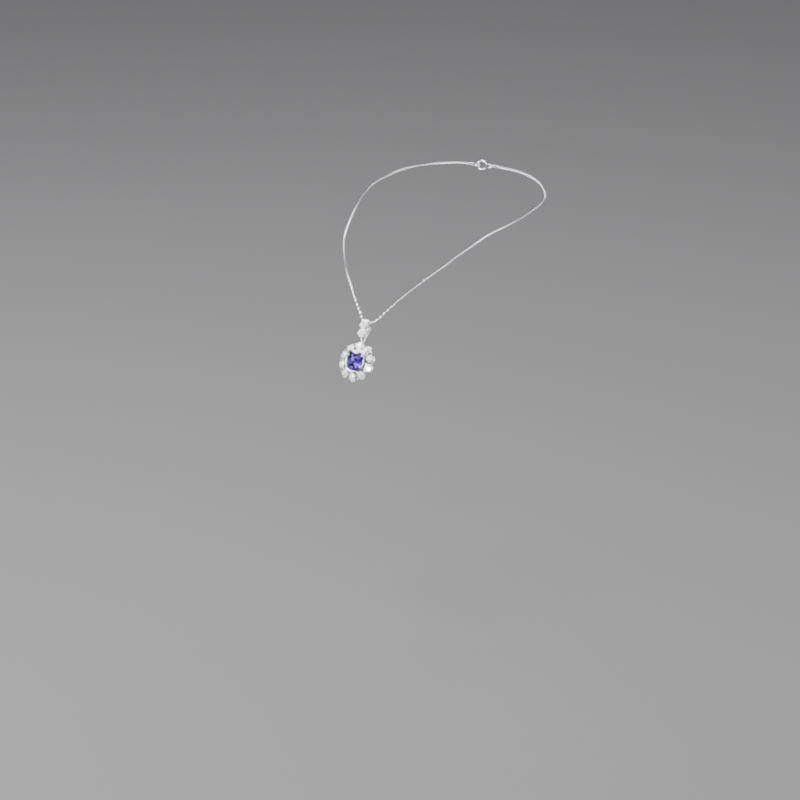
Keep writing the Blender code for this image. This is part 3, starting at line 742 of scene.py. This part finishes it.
def makeBolt(home):
    look = claspLook
    line = arcLine(look["radius"], *look["bolt"], look["boltSteps"])
    rod = wirePiece("boltRod", line, look["boltWidth"], rounds=6)
    tip = ballPiece("boltTip", look["boltWidth"], line[0])
    angle = math.radians(look["nub"])
    out = Vector((math.cos(angle), math.sin(angle), 0))
    low, high = look["radius"], look["radius"] + look["tube"] / 2 + look["nubStand"]
    shaftLine = [out * low, out * (high - look["shaftSink"])]
    shaft = wirePiece("nubShaft", shaftLine, look["nubWire"], rounds=5)
    head = ballPiece("nubHead", look["nubHead"], out * (high - look["nubSink"]), 1.0)
    bolt = joinPieces([rod, tip, shaft, head], "claspBolt")
    placePiece(bolt, home)
    finishPiece(bolt, "bolt", "clasp_metal", ("clasp_bolt",), 40)


def makeSpring(home):
    look = claspLook
    start, end = look["spring"]
    helix = []
    steps = look["springTurns"] * look["coilSteps"]
    for step in range(steps + 1):
        along = math.radians(start + (end - start) * step / steps)
        around = 2 * math.pi * step / look["coilSteps"]
        radius = look["radius"] + look["coil"] * math.cos(around)
        helix.append((radius * math.cos(along), radius * math.sin(along), look["coil"] * math.sin(around)))
    spring = wirePiece("claspSpring", helix, look["springWire"], rounds=1)
    placePiece(spring, home)
    finishPiece(spring, "clasp", "clasp_metal", ("clasp_spring",), 60)


def makeClasp():
    print("clasp")
    home = Matrix.Translation(jointOf["bolt_slide"]["pos_m"]) @ upright
    body = joinPieces([claspTube()] + makeCollars(), "claspBody")
    placePiece(body, home)
    finishPiece(body, "clasp", "clasp_metal", ("clasp_body",), 40)

    eye = ringPiece("claspEye", claspLook["eye"], claspLook["eyeWire"], 44, 14)
    placePiece(eye, Matrix.Translation(middleOf("clasp_eye")) @ upright)
    finishPiece(eye, "clasp", "clasp_metal", ("clasp_eye",), 60)
    makeBolt(home)
    makeSpring(home)


# pierced cups that hold the stones

cupLook = {
    "wall": 0.26 * mm,
    "steps": 32,
    "lip": 0.25 * mm,           # how far the rim stands outside the stone
    # the wall's outside in millimetres: from the rim, then from the stone's edge and the foot
    "upperWall": ((-0.03, 0.13), (0.0, 0.02), (0.0, -0.36), (-0.14, -0.62)),
    "lowerWall": ((-0.28, 0.32), (-0.42, 0.06), (-0.46, -0.02)),
    "windowHalf": 25.0,         # degrees
    "windowTop": -0.6 * mm,
    "windowFoot": 0.34 * mm,    # from the cup's foot
    "clawWire": 0.34 * mm,
    "clawBead": 0.5 * mm,
    "clawAngle": 45.0,
    "clawReach": 0.22 * mm,     # how far the bead reaches in over the stone
    "clawFoot": (0.30 * mm, 0.25 * mm),
    "clawShoulder": (0.02 * mm, 0.05 * mm),
    "tipBack": 0.14 * mm,
    "tipRise": 0.06 * mm,
    "tipShare": 0.34,           # of the bead, above the stone's slope
    "crown": 34.5,              # degrees of the stone's upper slope
}
upward = Vector((0.0, 0.0, 1.0))


def flatOut(angle):
    return Vector((math.cos(angle), math.sin(angle), 0.0))


def spunWall(name, profile, steps, wall, windows):
    # an open wall, given as (radius, height) down its outside, spun, pierced and thickened inwards
    mesh = bpy.data.meshes.new(name)
    mesh.from_pydata([(radius, 0.0, height) for radius, height in profile],
                     [(i, i + 1) for i in range(len(profile) - 1)], [])
    piece = showPiece(name, mesh)
    bpy.ops.object.mode_set(mode="EDIT")
    bpy.ops.mesh.select_all(action="SELECT")
    bpy.ops.mesh.spin(steps=steps, angle=2 * math.pi, center=(0, 0, 0), axis=(0, 0, 1))
    weldFaces()
    outward = sum(face.normal.x * face.center.x + face.normal.y * face.center.y
                  for face in piece.data.polygons)

    def inWindow(face):
        turn = math.degrees(math.atan2(face.center.y, face.center.x)) % 360.0
        return any(
            bottom < face.center.z < top and abs((turn - middle + 180) % 360 - 180) < half
            for middle, half, bottom, top in windows)

    pierceWall(piece, inWindow, outward, wall)
    soften = piece.modifiers.new("soften", "SUBSURF")
    soften.levels = 1
    soften.render_levels = 1
    applyModifiers(piece)
    return piece


def clawPiece(name, foot, shoulder, tip, wire, bead):
    # one claw: a wire up the outside of a wall, bent in over the stone and ending in a bead
    line = smoothLine([foot, foot.lerp(shoulder, 0.6), shoulder, tip], fine=4)
    count = len(line)
    radii = [0.8 + 0.25 * index / (count - 1) for index in range(count)]
    stem = wirePiece(name, line, wire, radii=radii, rounds=3)
    end = ballPiece(name + "Bead", bead, tip, 0.85, 14)
    return joinPieces([stem, end], name)


def cupPiece(name, stoneDiameter, depth):
    look = cupLook
    radius = stoneDiameter / 2
    outer = radius + look["lip"]
    profile = [(outer + aside * mm, rise * mm) for aside, rise in look["upperWall"]]
    profile += [(radius + aside * mm, -depth + rise * mm) for aside, rise in look["lowerWall"]]
    foot = -depth + look["windowFoot"]
    windows = [(90.0 * step, look["windowHalf"], foot, look["windowTop"]) for step in range(4)]
    pieces = [spunWall(name, profile, look["steps"], look["wall"], windows)]
    slope = math.tan(math.radians(look["crown"]))
    height = look["tipRise"] + look["clawReach"] * slope + look["clawBead"] * look["tipShare"]
    inset, lift = look["clawFoot"]
    stand, drop = look["clawShoulder"]
    for step in range(4):
        out = flatOut(math.radians(look["clawAngle"] + 90.0 * step))
        foot = out * (radius - inset) - upward * (depth - lift)
        shoulder = out * (outer + stand) - upward * drop
        tip = out * (radius - look["clawReach"] + look["tipBack"]) + upward * height
        claw = clawPiece(name + "Claw", foot, shoulder, tip, look["clawWire"], look["clawBead"])
        pieces.append(claw)
    return joinPieces(pieces, name)


# bail

bailLook = {
    "halfWidth": 1.0 * mm,
    "footHalfWidth": 0.3 * mm,
    "taperFrom": 6.2 * mm,
    "taperTo": 8.2 * mm,
    "rail": 0.38 * mm,
    "crossWire": 0.24 * mm,
    "crosses": 5,
    "stoneDiameter": 3.9 * mm,
    "stoneDrop": 1.6 * mm,
    "stonePitch": 4.85 * mm,
    "stoneOut": 3.55 * mm,
    "cupDepth": 1.8 * mm,
    "length": 9.0 * mm,
    "top": 1.35 * mm,
    "back": 3.95 * mm,
    "footOut": 0.2 * mm,
    # places counted along the loop's line, from its top round the front to the foot and the back
    "strap": (89, 138),
    "bars": (2, 10, 18, 26, 34, 42, 50, 58, 66, 142, 148),
    "foot": (62, 79),
}
pendantLean = 61.0      # degrees the bail and the head lie back on the chest
leanTurn = Matrix.Rotation(math.radians(pendantLean), 4, "X")
bailPlace = Matrix.Translation(jointOf["bail_swing"]["pos_m"]) @ leanTurn


def bailLine():
    # the bail's band from the side, as (0, height, distance in front), closed
    top, back, foot = bailLook["top"], bailLook["back"], bailLook["length"]
    out = bailLook["footOut"]
    loop = [
        (-top, 0.1 * mm), (-0.7 * top, 0.8 * top), (0.1 * top, top), (0.30 * foot, top + 0.05 * mm),
        (0.55 * foot, top + 0.05 * mm), (foot - 1.9 * mm, top - 0.05 * mm),
        (foot - 0.75 * mm, out + 0.85 * mm), (foot, out), (foot - 0.75 * mm, out - 0.85 * mm),
        (foot - 2.0 * mm, -0.40 * back), (0.60 * foot, -0.66 * back), (0.40 * foot, -0.92 * back),
        (0.22 * foot, -back), (0.03 * foot, -0.86 * back), (-0.75 * top, -0.52 * back),
    ]
    return smoothLine([(0.0, -below, ahead) for below, ahead in loop], closed=True, fine=10)


def bailHalfWidth(height):
    share = (-height - bailLook["taperFrom"]) / (bailLook["taperTo"] - bailLook["taperFrom"])
    share = min(1.0, max(0.0, share))
    return bailLook["halfWidth"] + (bailLook["footHalfWidth"] - bailLook["halfWidth"]) * share


def makeBail():
    print("bail")
    look = bailLook
    line = bailLine()[:-1]
    pieces = []

    def across(index, share):
        # a point between the middles of the two rails, at -1 to 1
        point = line[index % len(line)]
        half = bailHalfWidth(point.y) - look["rail"] / 2
        return Vector((share * half, point.y, point.z))

    for side in (-1, 1):
        rail = [across(index, side) for index in range(len(line))]
        pieces.append(wirePiece("bailRail", rail, look["rail"], closed=True, rounds=4))
    # the back strap's crossed wires run from the foot up to the top of the loop
    first, last = look["strap"]
    step = (last - first) / look["crosses"]
    for cross in range(look["crosses"]):
        low, high = first + cross * step, first + (cross + 1) * step
        for side in (-1, 1):
            wire = []
            for part in range(7):
                index = int(round(low + (high - low) * part / 6))
                wire.append(across(index, side * (1 - part / 3)))
            pieces.append(wirePiece("bailCross", wire, look["crossWire"], rounds=2))
    # short bars tie the rails together behind the stones and over the chain
    for index in look["bars"]:
        pieces.append(wirePiece(
            "bailBar", [across(index, -1.0), across(index, 1.0)], look["crossWire"] * 1.25, rounds=2))
    foot = [across(index, 0.0) for index in range(*look["foot"])]
    pieces.append(wirePiece("bailFoot", foot, look["rail"] * 1.1, rounds=4))
    bail = joinPieces(pieces, "bailFrame")
    placePiece(bail, bailPlace)
    finishPiece(bail, "bail", "pendant_metal", ("bail_frame",), 50)

    cup = cupPiece("bailCupModel", look["stoneDiameter"], look["cupDepth"])
    for index, name in enumerate(("upper", "lower")):
        place = Vector((0.0, -look["stoneDrop"] - index * look["stonePitch"], look["stoneOut"]))
        twin = copyPiece(cup, "bailCup" + name.title(), bailPlace @ Matrix.Translation(place))
        finishPiece(twin, "bail", "setting_metal", ("bail_setting_" + name,), 50)
    bpy.data.objects.remove(cup, do_unlink=True)


# connector ring

connectorLook = {"length": 2.98 * mm, "width": 2.55 * mm, "wire": 0.55 * mm}


def makeConnector():
    print("connector")
    look = connectorLook
    home = Matrix.Translation(middleOf("connector_ring")) @ leanTurn
    ring = linkPiece("connectorRing", look["length"], look["width"], look["wire"], 48, 14)
    placePiece(ring, home @ Matrix.Rotation(quarter, 4, "Z"))
    finishPiece(ring, "connector", "pendant_metal", ("connector_ring",), 60)


# pendant head

headLook = {
    "haloCount": 10,
    "haloStone": 4.2 * mm,
    "haloHalfWidth": 8.198 * mm,
    "haloHalfHeight": 8.748 * mm,
    "haloTilt": 35.0,
    "haloRise": 2.646 * mm,       # above the middle plane of the back plate
    "haloDepth": 1.5 * mm,
    "plate": 0.6 * mm,
    "plateEdge": 0.12 * mm,
    "rim": 1.7 * mm,
    "overhang": 0.5 * mm,
    "hole": 2.55 * mm,
    "innerRim": 1.3 * mm,
    "spokes": 5,
    "spokeWidth": 1.0 * mm,
    "centreHalfWidth": 4.85 * mm,
    "centreHalfHeight": 5.4 * mm,
    "squareness": 2.3,
    "centreRise": 4.6 * mm,
    "colletWall": 0.28 * mm,
    "colletLip": 0.3 * mm,        # how far the collet's rim stands outside the stone
    # the collet's outside: from the rim in millimetres, then from the stone's edge in
    # millimetres and down by shares of the height
    "upperWall": ((-0.02, 0.13), (0.0, 0.04), (0.0, -0.34), (-0.2, -0.75)),
    "lowerWall": ((-0.35, 0.48), (-0.75, 0.72), (-1.15, 0.9), (-1.3, 0.99535)),
    "colletWindows": 10,
    "windowHalf": 12.0,           # degrees
    "windowTop": -0.72 * mm,
    "windowFoot": 0.74,           # share of the collet's height
    "clawAngle": 36.0,
    "clawWire": 0.58 * mm,
    "clawBead": 0.74 * mm,
    "clawBeadOut": 0.04 * mm,
    # a claw's course in millimetres, outwards and up: from the stone's edge, the collet, the edge
    "clawFoot": ((-0.95, -3.2),),
    "clawStem": ((-0.5, -1.9), (0.0, -0.4), (-0.02, 0.25)),
    "clawTip": ((0.1, 0.62), (-0.42, 0.78)),
    "postLength": 1.28 * mm,      # under each cup, down to the back plate
    "postTop": 0.1 * mm,
    "postWaist": 0.6 * mm,
    "postWire": 1.1 * mm,
    "beadOffset": 0.95 * mm,      # shared beads, out and in from the ring of cup middles
    "outerBead": 0.78 * mm,
    "innerBead": 0.66 * mm,
    "beadLift": 0.22 * mm,
    "stemWire": 0.42 * mm,
    "stemFoot": 0.65 * mm,        # in from the ring of cup middles
    "stemBow": 0.12 * mm,
    "innerWire": 0.7 * mm,        # an oval wire between the collet and the cups
    "innerWireGap": 1.06 * mm,
    "innerWireRise": 3.1 * mm,
    "outerWire": 0.46 * mm,       # an oval wire under the outer edge of the cups
    "outerWireRise": 0.95 * mm,
}
headPlace = Matrix.Translation(middleOf("head_gallery")) @ leanTurn


def cushionRadius(angle):
    look = headLook
    across = abs(math.cos(angle) / look["centreHalfWidth"]) ** look["squareness"]
    along = abs(math.sin(angle) / look["centreHalfHeight"]) ** look["squareness"]
    return (across + along) ** (-1.0 / look["squareness"])


def ovalLine(halfWidth, halfHeight, steps, start=0.0, sweep=2 * math.pi, closed=True):
    count = steps if closed else steps - 1
    angles = [start + sweep * step / count for step in range(steps)]
    return [(halfWidth * math.cos(angle), halfHeight * math.sin(angle)) for angle in angles]


def makeGallery():
    print("back gallery")
    look = headLook
    rimX = look["haloHalfWidth"] + look["overhang"]
    rimY = look["haloHalfHeight"] + look["overhang"]
    soft = look["plateEdge"]
    outlines = [ovalLine(rimX - soft, rimY - soft, 96)]
    hole = look["hole"] + soft
    outlines.append(ovalLine(hole, hole * rimY / rimX, 56))
    farX, farY = rimX - look["rim"] + soft, rimY - look["rim"] + soft
    near = look["hole"] + look["innerRim"] - soft
    farGap = (look["spokeWidth"] / 2 - soft) / farX
    nearGap = (look["spokeWidth"] / 2 - soft) / near
    pitch = 2 * math.pi / look["spokes"]
    for index in range(look["spokes"]):
        start = math.pi / 2 + index * pitch
        window = ovalLine(farX, farY, 22, start + farGap, pitch - 2 * farGap, False)
        inner = ovalLine(near, near * rimY / rimX, 14, start + nearGap, pitch - 2 * nearGap, False)
        outlines.append(window + inner[::-1])
    curve = bpy.data.curves.new("galleryPlate", "CURVE")
    curve.dimensions = "2D"
    curve.fill_mode = "BOTH"
    curve.extrude = look["plate"] / 2 - soft
    curve.bevel_depth = soft
    curve.bevel_resolution = 2
    for outline in outlines:
        addLine(curve, [(x, y, 0.0) for x, y in outline], True)
    plate = meshFromCurve("galleryPlate", curve)
    placePiece(plate, headPlace)
    finishPiece(plate, "head", "pendant_metal", ("head_gallery",), 40)


eyeletLook = {
    "diameter": 2.3 * mm,
    "wire": 0.6 * mm,
    "play": 0.12 * mm,          # between the eyelet and the connector's wire
    "neckTop": 0.95 * mm,       # below the loop's middle
    "neckRise": 0.5 * mm,       # above the back plate's rim
    "neckSink": 0.25 * mm,      # into the back plate's rim
    "neckFlare": (1.0, 0.95, 0.9, 0.88, 0.88, 0.9, 0.94, 1.0, 1.08, 1.18, 1.28, 1.36, 1.42),
}


def makeEyelet():
    look = eyeletLook
    pivot = Matrix.Translation(jointOf["head_swing"]["pos_m"]) @ leanTurn
    inner = (look["diameter"] - look["wire"]) / 2
    rise = connectorLook["wire"] / 2 + look["play"] + look["wire"] / 2 - inner
    loop = ringPiece("headEyelet", look["diameter"], look["wire"], 48, 14)
    placePiece(loop, Matrix.Translation((0, rise, 0)) @ Matrix.Rotation(quarter, 4, "Y"))
    reach = (headPlace.translation - pivot.translation).length
    foot = reach - headLook["haloHalfHeight"] - headLook["overhang"]
    heights = (rise - look["neckTop"], -foot + look["neckRise"], -foot - look["neckSink"])
    line = smoothLine([(0, height, 0) for height in heights], fine=6)
    neck = wirePiece("eyeletNeck", line, look["wire"], radii=look["neckFlare"], rounds=5)
    eyelet = joinPieces([loop, neck], "headEyelet")
    placePiece(eyelet, pivot)
    finishPiece(eyelet, "head", "pendant_metal", ("head_eyelet",), 50)


def makeCollet(home):
    print("collet")
    look = headLook
    base = look["centreHalfWidth"]
    height = look["centreRise"] - look["plate"] / 2
    outer = base + look["colletLip"]
    profile = [(outer + aside * mm, rise * mm) for aside, rise in look["upperWall"]]
    profile += [(base + aside * mm, -height * share) for aside, share in look["lowerWall"]]
    pitch = 360.0 / look["colletWindows"]
    foot = -height * look["windowFoot"]
    windows = [
        ((step + 0.5) * pitch, look["windowHalf"], foot, look["windowTop"])
        for step in range(look["colletWindows"])]
    collet = spunWall("centreCollet", profile, 80, look["colletWall"], windows)
    # the round wall is drawn out to the stone's outline
    for vertex in collet.data.vertices:
        angle = math.atan2(vertex.co.y, vertex.co.x)
        reach = math.hypot(vertex.co.x, vertex.co.y) * cushionRadius(angle) / base
        vertex.co.x = reach * math.cos(angle)
        vertex.co.y = reach * math.sin(angle)
    placePiece(collet, home)
    finishPiece(collet, "head", "setting_metal", ("centre_collet",), 50)


def makeCentreClaws(home):
    print("centre claws")
    look = headLook
    lean = math.radians(look["clawAngle"])
    half = look["clawWire"] / 2
    for index, angle in enumerate((lean, math.pi - lean, math.pi + lean, -lean)):
        edge = cushionRadius(angle)
        out = flatOut(angle)
        stand = edge + look["colletLip"] * edge / look["centreHalfWidth"] + half * 0.7
        course = []
        for part, start in (("clawFoot", edge), ("clawStem", stand), ("clawTip", edge)):
            for aside, rise in look[part]:
                course.append(out * (start + aside * mm) + upward * rise * mm)
        line = smoothLine(course, fine=5)
        radii = [0.75 + 0.25 * min(1.0, place / 8) for place in range(len(line))]
        stem = wirePiece("centreClaw", line, look["clawWire"], rounds=5, radii=radii)
        bead = ballPiece("centreBead", look["clawBead"], line[-1] + out * look["clawBeadOut"], 0.72, 18)
        number = str(index + 1)
        claw = joinPieces([stem, bead], "centreClaw" + number)
        placePiece(claw, home)
        finishPiece(claw, "head", "setting_metal", ("centre_claw_" + number,), 50)


def haloPlace(step):
    # the middle of a cup, or half way between two cups, on the back plate's middle plane
    angle = 2 * math.pi * step / headLook["haloCount"]
    across = headLook["haloHalfWidth"] * math.sin(angle)
    return Vector((across, headLook["haloHalfHeight"] * math.cos(angle), 0.0))


def makeHalo():
    print("halo")
    look = headLook
    cup = cupPiece("haloCupModel", look["haloStone"], look["haloDepth"])
    tilt = math.radians(look["haloTilt"])
    down = Vector((math.sin(tilt), 0.0, -math.cos(tilt)))
    start = Vector((0.0, 0.0, -look["haloDepth"] + look["postTop"]))
    line = [start, start + down * look["postWaist"], start + down * look["postLength"]]
    post = wirePiece("haloPost", line, look["postWire"], radii=[1.25, 0.75, 0.95], rounds=5)
    cup = joinPieces([cup, post], "haloCupModel")
    for index in range(look["haloCount"]):
        middle = haloPlace(index)
        turn = Matrix.Rotation(math.atan2(middle.y, middle.x), 4, "Z") @ Matrix.Rotation(tilt, 4, "Y")
        place = headPlace @ Matrix.Translation(middle + upward * look["haloRise"]) @ turn
        number = str(index + 1).zfill(2)
        twin = copyPiece(cup, "haloCup" + number, place)
        finishPiece(twin, "head", "setting_metal", ("halo_setting_" + number,), 50)
    bpy.data.objects.remove(cup, do_unlink=True)


def makeBeads():
    # beads on stems in the notches between neighbouring cups, and the wires that carry them
    print("beads")
    look = headLook
    pieces = []
    slope = math.tan(math.radians(look["haloTilt"])) * math.cos(math.pi / look["haloCount"])
    for index in range(look["haloCount"]):
        middle = haloPlace(index + 0.5)
        out = middle.normalized()
        foot = middle - out * look["stemFoot"] + upward * look["plate"] * 0.4
        for side, size in ((1, look["outerBead"]), (-1, look["innerBead"])):
            offset = side * look["beadOffset"]
            height = look["haloRise"] - offset * slope + look["beadLift"]
            top = middle + out * offset + upward * height
            waist = foot.lerp(top, 0.5) + out * side * look["stemBow"]
            line = smoothLine([foot, waist, top], fine=5)
            pieces.append(wirePiece("beadStem", line, look["stemWire"], rounds=3))
            pieces.append(ballPiece("haloBead", size, top, 0.9, 14))
    beads = joinPieces(pieces, "haloBeads")
    placePiece(beads, headPlace)
    finishPiece(beads, "head", "setting_metal", (), 50)

    halfWidth = look["centreHalfWidth"] + look["innerWireGap"]
    halfHeight = look["centreHalfHeight"] + look["innerWireGap"]
    inner = [(x, y, look["innerWireRise"]) for x, y in ovalLine(halfWidth, halfHeight, 96)]
    rise = look["outerWireRise"]
    outer = [(x, y, rise) for x, y in ovalLine(look["haloHalfWidth"], look["haloHalfHeight"], 96)]
    wires = joinPieces([
        wirePiece("innerGalleryWire", inner, look["innerWire"], closed=True, rounds=4),
        wirePiece("outerGalleryWire", outer, look["outerWire"], closed=True, rounds=4)], "galleryWires")
    placePiece(wires, headPlace)
    finishPiece(wires, "head", "pendant_metal", (), 60)


def dressStones():
    print("stones")
    for name in frame["nodes"]:
        node = bpy.data.objects.get(name)
        if node is None or "stone" not in name:
            continue
        for face in node.data.polygons:
            face.use_smooth = False
        look = violetCrystal if name == "centre_stone" else clearCrystal
        node.data.materials.clear()
        node.data.materials.append(look)


makeRings()
makeClasp()
makeBail()
makeConnector()
makeGallery()
makeEyelet()
stonePlace = headPlace @ Matrix.Translation(upward * headLook["centreRise"])
makeCollet(stonePlace)
makeCentreClaws(stonePlace)
makeHalo()
makeBeads()
dressStones()


# stage: a pale floor and soft studio light

stageLook = {
    "floorHeight": -0.197,
    "floorSize": 14.0,
    "floorColour": (0.10, 0.10, 0.103),
    "floorPaler": 1.02,
    "floorRoughness": 0.75,
    "aim": (0.0, -0.06, -0.04),
    # each soft lamp's place, size in metres and power
    "softboxes": {
        "keySoftbox": ((-0.30, -0.62, 1.0), (0.6, 0.6), 39.0),
        "topSoftbox": ((-0.48, 0.12, 1.1), (0.45, 0.45), 14.0),
        "fillSoftbox": ((1.05, 0.15, 0.3), (0.25, 0.7), 9.0),
        "rimSoftbox": ((-0.85, -0.85, 0.15), (0.2, 0.5), 8.0),
    },
    # the direction of each small distant lamp
    "sparkles": {
        "sparkleRight": (0.70, -0.70, 0.14),
        "sparkleHigh": (0.12, -0.80, 0.58),
        "sparkleLow": (-0.16, -0.97, 0.10),
        "sparkleLeft": (-0.62, -0.62, 0.48),
    },
    "sparkleStrength": 1.25,
    "sparkleAngle": 9.0,
    "sky": 0.85,
    "skyFoot": 0.40,
    # brightness of the sky at shares of the way from straight down to straight up
    "skyBands": ((0.50, 0.30), (0.56, 0.22), (0.66, 0.08), (0.82, 0.05), (0.90, 0.95)),
}


def addStage():
    print("stage")
    dropSelection()
    bpy.ops.mesh.primitive_plane_add(size=stageLook["floorSize"], location=(0, 0, stageLook["floorHeight"]))
    floor = bpy.context.object
    floor.name = "paleFloor"
    material, tree, shader = newMaterial("paleFloorPaint")
    grain = groupNode(tree, mottleGroup, Scale=3.0, Low=0.3, High=0.7)
    paler = tuple(stageLook["floorPaler"] * channel for channel in stageLook["floorColour"])
    feed(tree, shader["Base Color"], mixColour(tree, grain["Mask"], stageLook["floorColour"], paler))
    shader["Roughness"].default_value = stageLook["floorRoughness"]
    floor.data.materials.append(material)


def addLamp(kind, name, place, aim, power):
    dropSelection()
    bpy.ops.object.light_add(type=kind, location=place)
    lamp = bpy.context.object
    lamp.name = name
    lamp.data.energy = power
    lamp.rotation_euler = (Vector(aim) - Vector(place)).to_track_quat("-Z", "Y").to_euler()
    return lamp.data


def addLamps():
    for name, (place, size, power) in stageLook["softboxes"].items():
        softbox = addLamp("AREA", name, place, stageLook["aim"], power)
        softbox.shape = "RECTANGLE"
        softbox.size, softbox.size_y = size
    # the glints of the small lamps travel over the facets and the wires
    for name, place in stageLook["sparkles"].items():
        sparkle = addLamp("SUN", name, place, (0.0, 0.0, 0.0), stageLook["sparkleStrength"])
        sparkle.angle = math.radians(stageLook["sparkleAngle"])


def addSky():
    # a studio: bright overhead, a dark band above the horizon and a pale floor below
    world = bpy.data.worlds.new("studioSky")
    world.use_nodes = True
    bpy.context.scene.world = world
    tree = world.node_tree
    background = tree.nodes["Background"].inputs
    place = tree.nodes.new("ShaderNodeTexCoord").outputs["Generated"]
    split = addNode(tree, "ShaderNodeSeparateXYZ", Vector=place)
    height = mathNode(tree, "MULTIPLY", split.outputs["Z"], 0.5)
    ramp = addNode(tree, "ShaderNodeValToRGB", Fac=mathNode(tree, "ADD", height, 0.5))
    bands = ramp.color_ramp.elements
    foot = stageLook["skyFoot"]
    bands[0].color = (foot, foot, foot + 0.01, 1)
    bands[1].color = (1.0, 1.0, 1.0, 1)
    for position, tone in stageLook["skyBands"]:
        bands.new(position).color = (tone, tone, tone * 1.02, 1)
    feed(tree, background["Color"], ramp.outputs["Color"])
    background["Strength"].default_value = stageLook["sky"]


addStage()
addSky()
addLamps()
